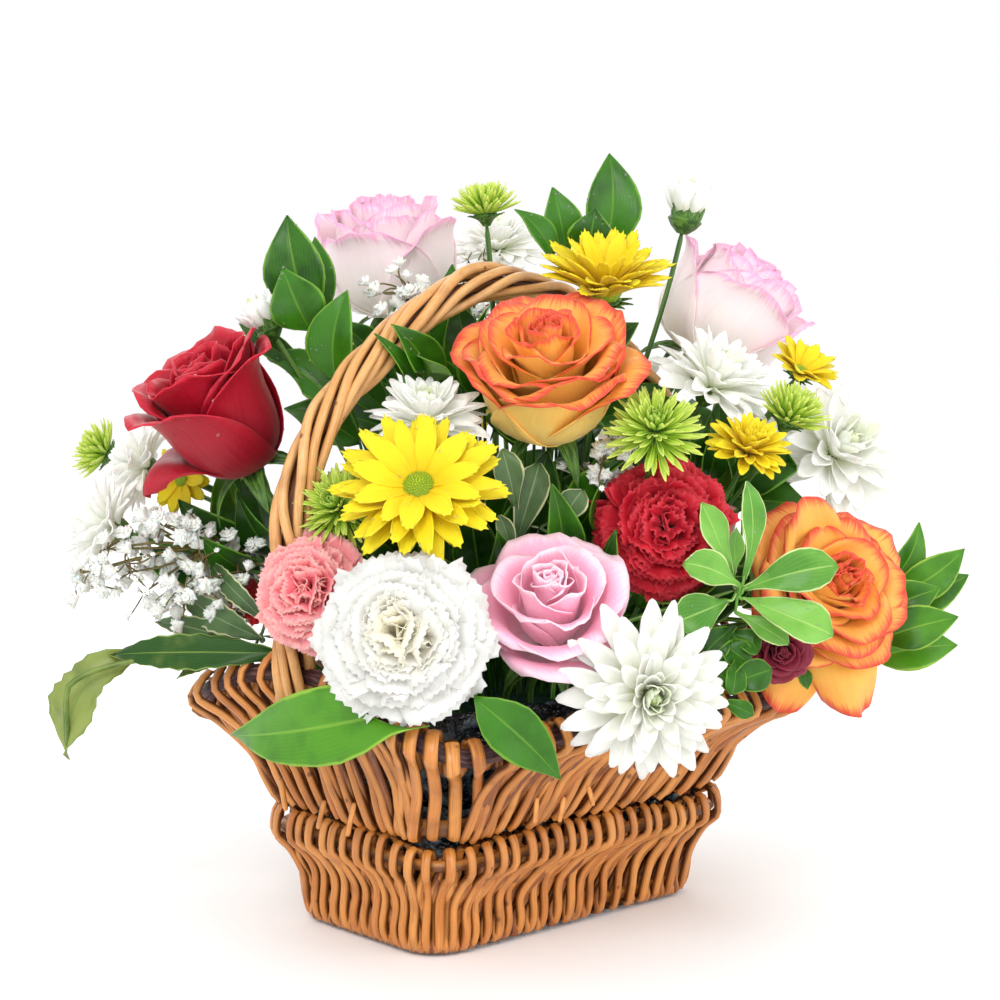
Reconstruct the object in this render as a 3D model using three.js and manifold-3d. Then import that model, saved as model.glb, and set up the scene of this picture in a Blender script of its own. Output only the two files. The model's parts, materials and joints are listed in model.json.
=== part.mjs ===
// Flower basket arrangement: a willow basket with a fixed twisted handle, a film liner and a block
// of wet foam, in which cut roses, carnations, daisies, chrysanthemums and foliage stand.
// Units are millimetres, +Z up. X runs along the basket, -Y is its front long side, and the origin
// is the middle of the underside.
import * as THREE from 'three';
import Module from 'manifold-3d';
import { mergeVertices } from 'three/addons/utils/BufferGeometryUtils.js';

const wasm = await Module();
wasm.setup();

// ---- Driving dimensions ----------------------------------------------------------------------

const baseHalf = [76, 41.5];      // half length and half width of the basket's floor
const bandHalf = [88, 58.5];      // the band where the upper tier starts
const lowerRimHalf = [87.5, 58];  // the willow hoop that the lower tier's stakes loop over
const rimHalf = [113, 87];        // the dark rod round the mouth
const baseCorner = 14;
const bandCorner = 18;
const rimCorner = 26;
const lowerRimHeight = 45;
const bandHeight = 58.3;
const bandThickness = 5.6;
const rimHeight = 94;             // at the corners of the mouth
const rimRiseShortSide = 26;      // the rim climbs to the handle
const rimRiseLongSide = 4;
const rimRodRadius = 3.9;
const lowerHoopRadius = 2.4;
const floorThickness = 6;
const willowThickness = 3.6;
const lowerStakeWidth = 9.5;      // a stake is drawn broad, so that fewer of them cover the wall
const upperStakeWidth = 10;
const loopReach = 9.6;            // how far a loop stands off the middle of the rod it wraps
const lowerStakeCount = 28;
const upperStakeCount = 36;
const lean = 0.027;               // how far a stake leans, as a share of the way round
const bendShare = 0.8;            // how much of the lean lies above the bend

const handleFoot = 118;           // X of the handle where it grips the rim's rod from outside
const handleReach = 118.5;        // X of the handle where it is widest
const handleTop = 284;
const handleRadius = 7.2;
const handleRods = 5;

const linerHalf = [80, 62];
const linerThickness = 0.8;
const foamHalf = [72, 55];
const foamHeight = 102;

const petalThickness = 0.8;
const leafThickness = 0.8;
const stemRadius = 1.9;
const floretRadius = 3.4;
const clearance = 0.35;           // air between neighbouring pieces

const heart = new THREE.Vector3(0, 0, 150);   // the middle of the arrangement
const viewAzimuth = THREE.MathUtils.degToRad(-42.4);
const viewElevation = THREE.MathUtils.degToRad(7.8);

const paint = {
  willow: [0xc98443, 0.55], willowLight: [0xd99c5c, 0.5], rod: [0x3b2226, 0.5],
  film: [0x20282a, 0.2], foam: [0x17402f, 0.95], leaf: [0x2f8a22, 0.35],
  leafPale: [0x86b35a, 0.45], leafGrey: [0x6f8a55, 0.55], breath: [0xf2f3ec, 0.8],
  red: [0xb8142c, 0.6], scarlet: [0xd2202f, 0.65], blush: [0xf3d9d8, 0.6], orange: [0xf59a3c, 0.6],
  pink: [0xeea6c8, 0.6], coral: [0xf08b88, 0.65], burgundy: [0x7d2136, 0.6],
  white: [0xf6f5ef, 0.65], yellow: [0xf5dc1e, 0.6], green: [0xa3c93a, 0.65],
};

// ---- Placing in the arrangement --------------------------------------------------------------

// Blooms are placed by millimetres across, up and toward an onlooker who faces the near corner.
const toward = new THREE.Vector3(Math.sin(viewAzimuth) * Math.cos(viewElevation),
  -Math.cos(viewAzimuth) * Math.cos(viewElevation), Math.sin(viewElevation));
const across = new THREE.Vector3(Math.cos(viewAzimuth), Math.sin(viewAzimuth), 0);
const upward = new THREE.Vector3().crossVectors(toward, across);

function direction([a, u, t]) {
  return new THREE.Vector3().addScaledVector(across, a).addScaledVector(upward, u)
    .addScaledVector(toward, t);
}

function place(spot) {
  return direction(spot).add(heart);
}

function vec(x, y, z) {
  return new THREE.Vector3(x, y, z);
}

function seeded(seed) {
  let state = seed;
  return () => {
    state = (state * 1664525 + 1013904223) % 4294967296;
    return state / 4294967296;
  };
}

// ---- Solids ----------------------------------------------------------------------------------

let grow = 0;   // a piece is built a little larger while it cuts its neighbours clear

function solid(points, faces) {
  const vertProperties = new Float32Array(points.flatMap((p) => [p.x, p.y, p.z]));
  const triVerts = new Uint32Array(faces.flat());
  return new wasm.Manifold(new wasm.Mesh({ numProp: 3, vertProperties, triVerts }));
}

function join(solids) {
  let level = solids;
  while (level.length > 1) {
    const next = [];
    for (let i = 0; i < level.length; i += 2) {
      next.push(i + 1 < level.length ? level[i].add(level[i + 1]) : level[i]);
    }
    level = next;
  }
  return level[0];
}

function largest(body) {
  const pieces = body.decompose();
  return pieces.reduce((best, piece) => (piece.volume() > best.volume() ? piece : best));
}

function fromGeometry(geometry) {
  geometry.deleteAttribute('normal');
  geometry.deleteAttribute('uv');
  const merged = mergeVertices(geometry, 1e-4);
  const position = merged.getAttribute('position');
  const index = merged.getIndex().array;
  const points = [];
  for (let i = 0; i < position.count; i += 1) {
    points.push(vec(position.getX(i), position.getY(i), position.getZ(i)));
  }
  const faces = [];
  for (let i = 0; i < index.length; i += 3) {
    const [a, b, c] = [index[i], index[i + 1], index[i + 2]];
    if (a !== b && b !== c && c !== a) faces.push([a, b, c]);
  }
  return { points, faces };
}

// A thin sheet round a middle surface: the same triangles on both sides, closed along the edge.
function sheet(points, faces, thickness) {
  const half = thickness / 2 + grow;
  const normals = points.map(() => vec(0, 0, 0));
  const edges = new Map();
  for (const [a, b, c] of faces) {
    const n = points[b].clone().sub(points[a]).cross(points[c].clone().sub(points[a]));
    for (const k of [a, b, c]) normals[k].add(n);
    for (const [p, q] of [[a, b], [b, c], [c, a]]) {
      if (edges.has(`${q},${p}`)) edges.delete(`${q},${p}`);
      else edges.set(`${p},${q}`, [p, q]);
    }
  }
  normals.forEach((n) => n.normalize());
  const outward = points.map(() => vec(0, 0, 0));
  for (const [p, q] of edges.values()) {
    const along = points[q].clone().sub(points[p]).normalize();
    for (const k of [p, q]) outward[k].add(along.clone().cross(normals[k]));
  }
  const middle = points.map((p, i) => p.clone().addScaledVector(outward[i].normalize(), grow));
  const front = middle.map((p, i) => p.clone().addScaledVector(normals[i], half));
  const back = middle.map((p, i) => p.clone().addScaledVector(normals[i], -half));
  const count = points.length;
  const shell = faces.map((f) => [...f]);
  for (const [a, b, c] of faces) shell.push([a + count, c + count, b + count]);
  for (const [p, q] of edges.values()) {
    shell.push([p, p + count, q + count], [p, q + count, q]);
  }
  return solid([...front, ...back], shell);
}

// A rod through the path's points, with a flat or square section: size is [width, thickness].
function rod(path, size, { sides = 4, facing = null, closed = false } = {}) {
  const count = path.length;
  const points = [];
  let normal = null;
  path.forEach((spot, i) => {
    const before = path[closed ? (i + count - 1) % count : Math.max(i - 1, 0)];
    const after = path[closed ? (i + 1) % count : Math.min(i + 1, count - 1)];
    const tangent = after.clone().sub(before).normalize();
    const ending = closed ? 0 : (i === count - 1) - (i === 0);
    const p = spot.clone().addScaledVector(tangent, ending * grow);
    const first = Math.abs(tangent.z) < 0.9 ? vec(0, 0, 1) : vec(1, 0, 0);
    const hint = facing ? facing(i) : normal ?? first;
    normal = hint.clone().addScaledVector(tangent, -hint.dot(tangent)).normalize();
    const side = vec(0, 0, 0).crossVectors(normal, tangent);
    const [w, h] = (Array.isArray(size[0]) ? size[i] : size).map((s) => s / 2 + grow);
    for (let k = 0; k < sides; k += 1) {
      const turn = (k + 0.5) / sides * Math.PI * 2;
      const reach = sides === 4 ? Math.SQRT2 : 1;
      points.push(p.clone().addScaledVector(side, Math.cos(turn) * w * reach)
        .addScaledVector(normal, Math.sin(turn) * h * reach));
    }
  });
  const faces = [];
  const rings = closed ? count : count - 1;
  for (let i = 0; i < rings; i += 1) {
    for (let k = 0; k < sides; k += 1) {
      const a = i * sides + k;
      const b = i * sides + (k + 1) % sides;
      const c = ((i + 1) % count) * sides + (k + 1) % sides;
      const d = ((i + 1) % count) * sides + k;
      faces.push([a, b, c], [a, c, d]);
    }
  }
  if (!closed) {
    const last = (count - 1) * sides;
    for (let k = 1; k < sides - 1; k += 1) {
      faces.push([0, k + 1, k], [last, last + k, last + k + 1]);
    }
  }
  return solid(points, faces);
}

// A turned shape on a local +Z axis: profile is [radius, height] from the bottom up.
function turned(profile, segments, frame) {
  const outline = [[0, profile[0][1]], ...profile, [0, profile.at(-1)[1]]]
    .map(([r, h]) => new THREE.Vector2(r > 0 ? r + grow : 0, h));
  outline[0].y -= grow;
  outline[1].y -= grow;
  outline.at(-1).y += grow;
  outline.at(-2).y += grow;
  const lathe = new THREE.LatheGeometry(outline, segments);
  lathe.rotateX(Math.PI / 2);
  const { points, faces } = fromGeometry(lathe);
  return solid(points.map((p) => p.applyMatrix4(frame)), faces);
}

function ball(centre, radius) {
  const { points, faces } = fromGeometry(new THREE.OctahedronGeometry(radius + grow, 0));
  return solid(points.map((p) => p.add(centre)), faces);
}

// The frame of a bloom: +Z is the way it faces.
function frameAt(spot, facing, spin = 0) {
  const z = direction(facing).normalize();
  const x = vec(0, 0, 1).cross(z).normalize();
  const y = z.clone().cross(x);
  const turn = new THREE.Matrix4().makeRotationZ(spin);
  return new THREE.Matrix4().makeBasis(x, y, z).setPosition(place(spot)).multiply(turn);
}

// ---- The basket ------------------------------------------------------------------------------

// A point on a rounded rectangle, at a share of the way round from the near corner (-X, -Y).
function onHoop([halfX, halfY], corner, share) {
  const straightX = 2 * (halfX - corner);
  const straightY = 2 * (halfY - corner);
  const arc = Math.PI * corner / 2;
  const total = 2 * (straightX + straightY) + 4 * arc;
  let run = (((share % 1) + 1) % 1) * total + arc / 2;
  const legs = [
    [-1, -1, 180, straightX], [1, -1, 270, straightY], [1, 1, 0, straightX], [-1, 1, 90, straightY],
  ];
  const centreX = halfX - corner;
  const centreY = halfY - corner;
  for (let lap = 0; lap < 2; lap += 1) {
    for (const [sx, sy, startAngle, straight] of legs) {
      if (run < arc) {
        const angle = THREE.MathUtils.degToRad(startAngle) + run / corner;
        return vec(sx * centreX + corner * Math.cos(angle), sy * centreY + corner * Math.sin(angle), 0);
      }
      run -= arc;
      if (run < straight) {
        const angle = THREE.MathUtils.degToRad(startAngle + 90);
        const way = vec(-Math.sin(angle), Math.cos(angle), 0);
        return vec(sx * centreX + corner * Math.cos(angle), sy * centreY + corner * Math.sin(angle), 0)
          .addScaledVector(way, run);
      }
      run -= straight;
    }
  }
  return vec(-halfX, -centreY, 0);
}

function rimZ(point) {
  const shortSide = Math.max(0, 1 - (point.y / rimHalf[1]) ** 2) * rimRiseShortSide;
  const longSide = Math.max(0, 1 - (point.x / rimHalf[0]) ** 2) * rimRiseLongSide;
  const onShortSide = Math.abs(point.x) / rimHalf[0] > Math.abs(point.y) / rimHalf[1];
  return rimHeight + (onShortSide ? shortSide : longSide);
}

function hoopPath(half, corner, height, steps) {
  return Array.from({ length: steps }, (_, i) => {
    const point = onHoop(half, corner, i / steps);
    point.z = typeof height === 'function' ? height(point) : height;
    return point;
  });
}

// A point on a closed path of straight stretches, at a share of its steps.
function onPath(path, share) {
  const run = (((share % 1) + 1) % 1) * path.length;
  const i = Math.floor(run);
  return path[i].clone().lerp(path[(i + 1) % path.length], run - i);
}

// Away from the hoop's middle, level, at a share of the way round.
function outwardAt(half, corner, share) {
  const a = onHoop(half, corner, share - 0.004);
  const b = onHoop(half, corner, share + 0.004);
  const way = b.sub(a).normalize();
  return vec(way.y, -way.x, 0);
}

// Stakes lean away from the near corner and the far corner, toward the other two.
function leanAt(share) {
  return lean * THREE.MathUtils.clamp(1.6 * Math.sin(share * Math.PI * 4), -1, 1);
}

function floorBoard() {
  const half = [baseHalf[0] + grow, baseHalf[1] + grow];
  const outline = hoopPath(half, baseCorner, 0, 20).map((p) => new THREE.Vector2(p.x, p.y));
  const depth = floorThickness + 2 * grow;
  const board = new THREE.ExtrudeGeometry(new THREE.Shape(outline), { depth, bevelEnabled: false });
  board.translate(0, 0, -grow);
  const { points, faces } = fromGeometry(board);
  return solid(points, faces);
}

// A stake from its foot, over the rod that it wraps and down inside.
function stake(foot, bend, top, out, width, reach) {
  const side = top.clone().addScaledVector(out, reach);
  side.z -= reach * 0.25;
  const over = top.clone();
  over.z += reach * 1.17;
  const inside = top.clone().addScaledVector(out, -reach);
  inside.z -= reach * 0.25;
  return rod([foot, bend, side, over, inside], [width, willowThickness], { facing: () => out });
}

const rimPath = hoopPath(rimHalf, rimCorner, rimZ, 36);
const lowerHoopPath = hoopPath(lowerRimHalf, bandCorner, lowerRimHeight - 3, 28);

function lowerWeave() {
  const footHalf = [baseHalf[0] + 5, baseHalf[1] + 5];
  const parts = [rod(hoopPath(footHalf, baseCorner + 5, 4.5, 24), [9, 7], { closed: true })];
  for (let i = 0; i < lowerStakeCount; i += 1) {
    const s = (i + 0.5) / lowerStakeCount;
    const shift = leanAt(s);
    const foot = onHoop(footHalf, baseCorner + 5, s - shift).setZ(4.5);
    const bendHalf = [baseHalf[0] + 8, baseHalf[1] + 9];
    const bend = onHoop(bendHalf, baseCorner + 6, s - shift * bendShare).setZ(23);
    const top = onPath(lowerHoopPath, s);
    const out = outwardAt(lowerRimHalf, bandCorner, s);
    parts.push(stake(foot, bend, top, out, lowerStakeWidth, loopReach * 0.78));
  }
  return join(parts);
}

function upperWeave() {
  const parts = [rod(hoopPath(bandHalf, bandCorner, bandHeight, 24), [8, bandThickness], { closed: true })];
  for (let i = 0; i < upperStakeCount; i += 1) {
    const s = (i + 0.5) / upperStakeCount;
    const shift = leanAt(s);
    const top = onPath(rimPath, s);
    const foot = onHoop(bandHalf, bandCorner, s - shift).setZ(bandHeight);
    const bendHalf = [bandHalf[0] + 9, bandHalf[1] + 12];
    const bend = onHoop(bendHalf, bandCorner + 4, s - shift * bendShare).setZ(78);
    const atHandle = Math.abs(top.y) < handleRadius + upperStakeWidth && Math.abs(top.x) > foamHalf[0];
    if (!atHandle) {
      const out = outwardAt(rimHalf, rimCorner, s);
      parts.push(stake(foot, bend, top, out, upperStakeWidth, loopReach));
    }
  }
  return join(parts);
}

function rimRod() {
  return rod(rimPath, [2 * rimRodRadius, 2 * rimRodRadius], { sides: 5, closed: true });
}

function lowerHoop() {
  return rod(lowerHoopPath, [2 * lowerHoopRadius, 2 * lowerHoopRadius], { sides: 5, closed: true });
}

function handleCurve() {
  const half = [[handleFoot, 103], [handleFoot, 118], [handleFoot, 134], [handleReach, 156],
    [handleReach, 184], [111, 208], [99, 228], [80, 248], [56, 266], [28, 279]];
  const left = half.map(([x, z]) => vec(-x, 0, z));
  const right = half.map(([x, z]) => vec(x, 0, z)).reverse();
  return new THREE.CatmullRomCurve3([...left, vec(0, 0, handleTop), ...right]);
}

// Five willow rods twisted into a rope: a lobed section that turns as it goes along the arch.
function handle() {
  const curve = handleCurve();
  const steps = 24;
  const twist = Math.PI * 7;
  const points = [];
  const section = handleRods * 2;
  for (let i = 0; i <= steps; i += 1) {
    const p = curve.getPointAt(i / steps);
    const tangent = curve.getTangentAt(i / steps);
    const side = vec(0, 1, 0);
    const normal = vec(0, 0, 0).crossVectors(side, tangent).normalize();
    for (let k = 0; k < section; k += 1) {
      const angle = k / section * Math.PI * 2 + twist * i / steps;
      const r = (k % 2 ? handleRadius - 1.3 : handleRadius + 1.3) + grow;
      points.push(p.clone().addScaledVector(side, Math.cos(angle) * r)
        .addScaledVector(normal, -Math.sin(angle) * r));
    }
  }
  const faces = [];
  for (let i = 0; i < steps; i += 1) {
    for (let k = 0; k < section; k += 1) {
      const a = i * section + k;
      const b = i * section + (k + 1) % section;
      faces.push([a, b, b + section], [a, b + section, a + section]);
    }
  }
  const last = steps * section;
  for (let k = 1; k < section - 1; k += 1) {
    faces.push([0, k + 1, k], [last, last + k, last + k + 1]);
  }
  return solid(points, faces);
}

// The film tub inside the weave, open at the top.
function liner() {
  const steps = 16;
  const levels = [[[66, 34], 12, floorThickness + clearance], [[72, 44], 14, 44], [linerHalf, 20, 106]];
  const points = [];
  const ring = (half, corner, z, inset) => hoopPath([half[0] - inset, half[1] - inset], corner, z, steps);
  for (const [half, corner, z] of levels) points.push(...ring(half, corner, z - grow, -grow));
  for (const [half, corner, z] of [...levels].reverse()) {
    const lift = z < 20 ? linerThickness : 0;
    points.push(...ring(half, corner, z + lift, linerThickness + grow));
  }
  const faces = [];
  for (let i = 0; i < 5; i += 1) {
    for (let k = 0; k < steps; k += 1) {
      const a = i * steps + k;
      const b = i * steps + (k + 1) % steps;
      faces.push([a, b, b + steps], [a, b + steps, a + steps]);
    }
  }
  const outer = points.length;
  const underside = floorThickness + clearance;
  points.push(vec(0, 0, underside - grow), vec(0, 0, underside + linerThickness));
  for (let k = 0; k < steps; k += 1) {
    const next = (k + 1) % steps;
    faces.push([outer, next, k], [outer + 1, 5 * steps + k, 5 * steps + next]);
  }
  return solid(points, faces);
}

function foamBlock() {
  const lower = [[62, 30], 9, floorThickness + linerThickness + 2 * clearance];
  const upper = [foamHalf, 14, foamHeight];
  const steps = 16;
  const points = [...hoopPath(lower[0], lower[1], lower[2], steps), ...hoopPath([68, 40], 10, 46, steps),
    ...hoopPath(upper[0], upper[1], upper[2], steps)];
  points.push(vec(0, 0, lower[2]), vec(0, 0, foamHeight));
  const faces = [];
  for (let k = 0; k < steps; k += 1) {
    const next = (k + 1) % steps;
    for (const level of [0, steps]) {
      const above = level + steps;
      faces.push([level + k, level + next, above + next], [level + k, above + next, above + k]);
    }
    faces.push([3 * steps, next, k], [3 * steps + 1, 2 * steps + k, 2 * steps + next]);
  }
  return solid(points, faces);
}

// ---- Heads of the flowers, on a local frame whose +Z is the way the flower faces --------------

// A head in one skin: a slim core with a ring of petals growing out of it at each layer.
// A broad petal widens to its shoulders and then narrows to its tip, a narrow one only narrows.
function rayHead(frame, r, count, layers, { foot, top }) {
  const points = [vec(0, 0, foot * r - grow)];
  const faces = [];
  const step = Math.PI * 2 / count;
  const put = (angle, reach, z) => {
    points.push(vec(Math.cos(angle) * reach, Math.sin(angle) * reach, z));
    return points.length - 1;
  };
  const band = (lower, upper) => {
    for (let k = 0; k < count; k += 1) {
      const next = (k + 1) % count;
      faces.push([lower[k], lower[next], upper[next]], [lower[k], upper[next], upper[k]]);
    }
  };
  let below = null;
  layers.forEach(({ core, at, long, rise, wide = 0, turn = 0 }) => {
    const half = (petalThickness / 2) / Math.cos(rise) + grow;
    const ring = (z) => Array.from({ length: count },
      (_, k) => put((k - 0.5) * step + turn * step, core * r + grow, at * r + z));
    const lower = ring(-half);
    const upper = ring(half);
    if (below) band(below, lower);
    else for (let k = 0; k < count; k += 1) faces.push([0, lower[(k + 1) % count], lower[k]]);
    for (let k = 0; k < count; k += 1) {
      const next = (k + 1) % count;
      const angle = (k + turn) * step;
      const reach = long * r * (1 - 0.06 * ((k * 5) % 3)) * Math.cos(rise) + grow;
      const climb = (share) => at * r + Math.tan(rise) * reach * share;
      let [a, b, c, d] = [lower[k], lower[next], upper[next], upper[k]];
      if (wide) {
        const spread = (wide * r + grow) / (0.68 * reach);
        const shoulder = (w, z) => put(angle + w * spread, 0.7 * reach, climb(0.7) + z);
        const [e, h] = [shoulder(-1, -half), shoulder(-1, half)];
        const [f, g] = [shoulder(1, -half), shoulder(1, half)];
        faces.push([d, h, g], [d, g, c], [a, b, f], [a, f, e]);
        faces.push([a, e, h], [a, h, d], [f, b, c], [f, c, g]);
        [a, b, c, d] = [e, f, g, h];
      }
      const tipLow = put(angle, reach, climb(1) - half);
      const tipHigh = put(angle, reach, climb(1) + half);
      faces.push([d, tipHigh, c], [a, b, tipLow], [a, tipLow, tipHigh], [a, tipHigh, d]);
      faces.push([tipLow, b, c], [tipLow, c, tipHigh]);
    }
    below = upper;
  });
  const crown = put(0, 0, top * r + grow);
  for (let k = 0; k < count; k += 1) faces.push([below[k], below[(k + 1) % count], crown]);
  return solid(points.map((p) => p.applyMatrix4(frame)), faces);
}

// A head wound from one long sheet, from the heart outwards; its lip is scalloped or frilled.
// rows give [inner radius, outer radius, inner height, outer height] at the foot, belly and lip.
function woundHead(frame, r, perTurn, turns, rows, { scallop = 0, frill = 0 }) {
  const columns = Math.round(perTurn * turns) + 1;
  const points = [];
  for (let i = 0; i < columns; i += 1) {
    const share = i / (columns - 1);
    const angle = i / perTurn * Math.PI * 2;
    const petal = Math.abs(Math.sin(angle * 1.25));
    rows.forEach(([inR, outR, inZ, outZ], row) => {
      const lip = row / (rows.length - 1);
      const zig = (i % 2 ? 1 : -1) * frill * lip * (0.4 + 0.6 * share);
      const reach = r * (inR + (outR - inR) * share + zig);
      const z = r * (inZ + (outZ - inZ) * share ** 1.3 - scallop * lip * (1 - petal) - zig * 0.6);
      points.push(vec(Math.cos(angle) * reach, Math.sin(angle) * reach, z));
    });
  }
  const faces = [];
  const high = rows.length;
  for (let i = 0; i < columns - 1; i += 1) {
    for (let k = 0; k < high - 1; k += 1) {
      const a = i * high + k;
      faces.push([a, a + high + 1, a + 1], [a, a + high, a + high + 1]);
    }
  }
  points.forEach((p) => p.applyMatrix4(frame));
  return sheet(points, faces, petalThickness);
}

function rose(frame, r) {
  const rows = [[0.05, 0.3, -0.6, -0.7], [0.26, 0.86, 0, -0.12], [0.17, 1, 0.62, 0.24]];
  return [woundHead(frame, r, 6, r < 20 ? 1.7 : 2.4, rows, { scallop: 0.16 })];
}

function carnation(frame, r) {
  const rows = [[0.06, 0.22, -0.34, -0.5], [0.18, 0.62, 0.06, -0.26], [0.16, 0.94, 0.44, -0.12]];
  return [woundHead(frame, r, 8, 2.2, rows, { frill: 0.075 })];
}

function daisy(frame, r) {
  const small = r < 20;
  const layers = small
    ? [{ core: 0.26, at: -0.08, long: 1, rise: 0.15, wide: 0.16 }]
    : [{ core: 0.2, at: -0.14, long: 1, rise: 0.05, wide: 0.15 },
      { core: 0.24, at: -0.03, long: 0.88, rise: 0.24, turn: 0.5 }];
  return [rayHead(frame, r, small ? 7 : 9, layers, { foot: -0.24, top: 0.12 })];
}

function mum(frame, r) {
  return [rayHead(frame, r, 8, [
    { core: 0.2, at: -0.28, long: 1, rise: -0.08, wide: 0.15 },
    { core: 0.22, at: -0.18, long: 0.92, rise: 0.24, wide: 0.14, turn: 0.5 },
    { core: 0.22, at: -0.04, long: 0.74, rise: 0.66 },
  ], { foot: -0.42, top: 0.2 })];
}

function smallMum(frame, r) {
  return [rayHead(frame, r, 7, [
    { core: 0.26, at: -0.34, long: 1, rise: 0.1, wide: 0.18 },
    { core: 0.28, at: -0.16, long: 0.84, rise: 0.62, turn: 0.5 },
  ], { foot: -0.52, top: 0.2 })];
}

function button(frame, r) {
  return [rayHead(frame, r, 8, [
    { core: 0.46, at: -0.36, long: 1, rise: 0.12 },
    { core: 0.46, at: -0.04, long: 0.94, rise: 0.6, turn: 0.5 },
  ], { foot: -0.6, top: 0.34 })];
}

function bud(frame, r) {
  return [
    turned([[r * 0.3, -r * 1.1], [r * 0.95, -r * 0.4], [r * 0.85, r * 0.4], [r * 0.2, r * 1.15]], 7, frame),
  ];
}

const headOf = { rose, carnation, daisy, mum, smallMum, button, bud };
const depthOf = {
  rose: 0.84, carnation: 0.6, daisy: 0.3, mum: 0.45, smallMum: 0.55, button: 0.6, bud: 1.15,
};

// ---- The arrangement -------------------------------------------------------------------------

// name, kind, [across, up, toward] in mm, [across, up, toward] it faces, radius, paint
const blooms = [
  ['carnation_white', 'carnation', [-39, -22, 132], [-0.1, 0.05, 1], 36, 'white'],
  ['mum_white_front', 'mum', [57, -43, 118], [0.12, -0.1, 1], 38, 'white'],
  ['rose_pink', 'rose', [21, -10, 100], [0, 0.5, 0.87], 33, 'pink'],
  ['daisy_yellow_front', 'daisy', [-33, 38, 108], [-0.1, 0.55, 0.83], 38, 'yellow'],
  ['carnation_coral', 'carnation', [-79, -5, 96], [-0.35, 0.1, 0.93], 26, 'coral'],
  ['button_green_low', 'button', [-68, 31, 88], [-0.4, 0.5, 0.75], 18, 'green'],
  ['button_green_mid', 'button', [65, 64, 84], [0, 0.6, 0.8], 21, 'green'],
  ['rose_orange_top', 'rose', [22, 90, 70], [0.15, 0.45, 0.9], 37, 'orange'],
  ['carnation_red', 'carnation', [71, 22, 60], [0.1, 0.1, 1], 32, 'scarlet'],
  ['mum_white_upper', 'smallMum', [-31, 71, 68], [0, 0.85, 0.5], 24, 'white'],
  ['rose_burgundy', 'rose', [120, -30, 54], [0.2, -0.2, 0.95], 15, 'burgundy'],
  ['rose_orange_right', 'rose', [147, -3, 26], [0.35, 0.35, 0.87], 37, 'orange'],
  ['daisy_yellow_right', 'smallMum', [109, 59, 44], [0.25, 0.8, 0.55], 18, 'yellow'],
  ['button_green_right', 'button', [128, 77, 26], [0.4, 0.8, 0.4], 15, 'green'],
  ['rose_red', 'rose', [-125, 75, 40], [-0.55, 0.75, 0.35], 34, 'red'],
  ['daisy_yellow_top', 'daisy', [46, 131, 34], [0, 0.75, 0.66], 32, 'yellow'],
  ['mum_white_tall', 'smallMum', [98, 92, 16], [0.45, 0.8, 0.4], 28, 'white'],
  ['daisy_yellow_far', 'daisy', [140, 97, -6], [0.5, 0.7, 0.5], 16, 'yellow'],
  ['mum_white_right', 'smallMum', [164, 64, -24], [0.85, 0.35, 0.4], 30, 'white'],
  ['rose_blush_right', 'rose', [109, 129, -50], [0.55, 0.75, 0.3], 36, 'blush'],
  ['rose_blush_left', 'rose', [-54, 157, -48], [-0.1, 0.75, 0.6], 34, 'blush'],
  ['mum_white_back', 'smallMum', [-1, 168, -80], [0, 0.8, 0.5], 24, 'white'],
  ['daisy_yellow_left', 'daisy', [-143, 50, -2], [-0.6, 0.2, 0.7], 14, 'yellow'],
  ['mum_white_left_low', 'smallMum', [-181, 25, 8], [-0.9, 0, 0.4], 24, 'white'],
  ['mum_white_left_high', 'smallMum', [-172, 54, -26], [-0.9, 0.3, 0.3], 20, 'white'],
  ['button_green_left', 'button', [-193, 62, -54], [-0.85, 0.4, 0.2], 16, 'green'],
  ['button_green_top', 'button', [-7, 170, 10], [-0.1, 0.95, 0.2], 16, 'green'],
  ['bud_white_left', 'bud', [-105, 116, 30], [-0.5, 0.8, 0.2], 9, 'white'],
  ['bud_white_right', 'bud', [88, 175, -25], [0.2, 0.95, 0.1], 11, 'white'],
  ['rose_orange_back', 'rose', [-62, 30, -100], [-0.5, 0.3, -0.85], 35, 'orange'],
  ['carnation_white_back', 'carnation', [18, 12, -126], [0.1, 0.1, -1], 34, 'white'],
  ['rose_pink_back', 'rose', [88, 34, -104], [0.5, 0.3, -0.8], 34, 'pink'],
  ['daisy_yellow_back', 'daisy', [-18, 92, -100], [-0.1, 0.5, -0.85], 34, 'yellow'],
  ['mum_white_back_mid', 'smallMum', [58, 96, -104], [0.3, 0.5, -0.8], 30, 'white'],
  ['carnation_red_back', 'carnation', [-128, 8, -78], [-0.8, 0.1, -0.6], 29, 'scarlet'],
  ['mum_white_far', 'mum', [148, -9, -72], [0.8, 0, -0.6], 33, 'white'],
];

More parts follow.
